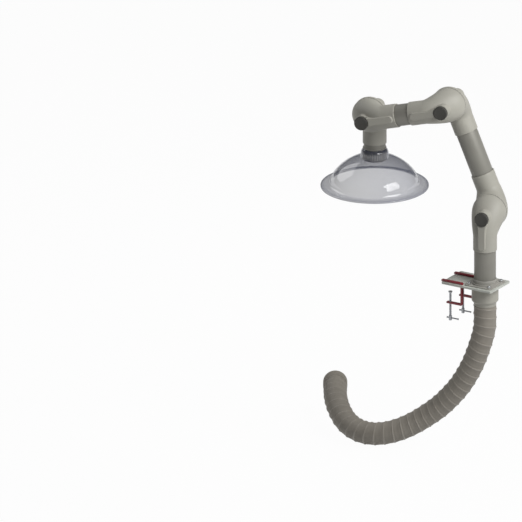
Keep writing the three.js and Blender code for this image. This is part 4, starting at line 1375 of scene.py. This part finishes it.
class FUMEARM_OT_stage(bpy.types.Operator):
    """Sets the pale floor, the even light and three soft lamps"""
    bl_idname = "fume_arm.stage"
    bl_label = "Stage"

    floor_tone = (0.7, 0.7, 0.7, 1)
    white = (1, 1, 1, 1)
    floor_white = 0.97  # share of plain white that the camera sees; the rest shows the shadow
    lamp_aim = Vector((-0.1, 0, 0.25))
    lamps = {  # width, height and place
        "key": (2.2, 2.0, (2.28, -0.3, 2.2)),
        "fill": (1.5, 1.5, (-2.35, 0.18, 1.6)),
        "back": (1.8, 1.8, (-0.9, 2.4, 1.7)),
    }

    def lamp(self, context, name, watts):
        width, height, place = self.lamps[name]
        light = bpy.data.lights.new(name, "AREA")
        light.shape = "RECTANGLE"
        light.size = width
        light.size_y = height
        light.energy = watts
        holder = bpy.data.objects.new(name, light)
        context.collection.objects.link(holder)
        holder.location = place
        holder.rotation_mode = "QUATERNION"
        holder.rotation_quaternion = (self.lamp_aim - Vector(place)).to_track_quat("-Z", "Y")
        return holder

    def floor_finish(self):
        look = Finish("floor_white")
        camera, glossy, through = (
            look.node("ShaderNodeLightPath", output=f"Is {kind} Ray")
            for kind in ("Camera", "Glossy", "Transmission"))
        matt = look.node("ShaderNodeBsdfDiffuse", None, {"Color": self.floor_tone})
        white = look.node("ShaderNodeEmission", None, {"Color": self.white, "Strength": 1.0})
        share = (camera + glossy + through) * self.floor_white
        return look.finished(look.node("ShaderNodeMixShader", None, {0: share, 1: matt, 2: white}))

    def execute(self, context):
        stage = context.scene.fume_arm_stage
        clear_selection()
        height = cad_box[0].z - stage.floor_gap
        bpy.ops.mesh.primitive_plane_add(size=stage.floor_size, location=(0, 0, height))
        floor = named("floor")
        floor.data.materials.append(self.floor_finish())

        world = bpy.data.worlds.new("even_light")
        context.scene.world = world
        world.use_nodes = True
        light = world.node_tree.nodes["Background"].inputs
        light["Color"].default_value = self.white
        light["Strength"].default_value = stage.sky
        self.lamp(context, "key", stage.key_power)
        self.lamp(context, "fill", stage.fill_power)
        self.lamp(context, "back", stage.back_power).visible_glossy = False
        context.scene.view_settings.view_transform = "Standard"
        return {"FINISHED"}


class FUMEARM_PT_panel(bpy.types.Panel):
    """Lists the steps that build the arm and its stage"""
    bl_idname = "FUMEARM_PT_panel"
    bl_label = "Fume arm"
    bl_space_type = "VIEW_3D"
    bl_region_type = "UI"
    bl_category = "Fume arm"

    def draw(self, context):
        for operator in OPERATORS:
            self.layout.operator(operator.bl_idname)


OPERATORS = (
    FUMEARM_OT_camera,
    FUMEARM_OT_hose,
    FUMEARM_OT_elbows,
    FUMEARM_OT_joint_fittings,
    FUMEARM_OT_tubes,
    FUMEARM_OT_base,
    FUMEARM_OT_clamps,
    FUMEARM_OT_hood,
    FUMEARM_OT_stage,
)


def register():
    for group in GROUPS.values():
        bpy.utils.register_class(group)
    for name, group in GROUPS.items():
        setattr(bpy.types.Scene, name, PointerProperty(type=group))
    for operator in OPERATORS:
        bpy.utils.register_class(operator)
    bpy.utils.register_class(FUMEARM_PT_panel)


def unregister():
    bpy.utils.unregister_class(FUMEARM_PT_panel)
    for operator in reversed(OPERATORS):
        bpy.utils.unregister_class(operator)
    for name, group in GROUPS.items():
        delattr(bpy.types.Scene, name)
        bpy.utils.unregister_class(group)


def main():
    register()
    bpy.ops.fume_arm.camera()
    bpy.ops.fume_arm.hose()
    bpy.ops.fume_arm.elbows()
    bpy.ops.fume_arm.joint_fittings()
    bpy.ops.fume_arm.tubes()
    bpy.ops.fume_arm.base()
    bpy.ops.fume_arm.clamps()
    bpy.ops.fume_arm.hood()
    bpy.ops.fume_arm.stage()


if __name__ == "__main__":
    main()
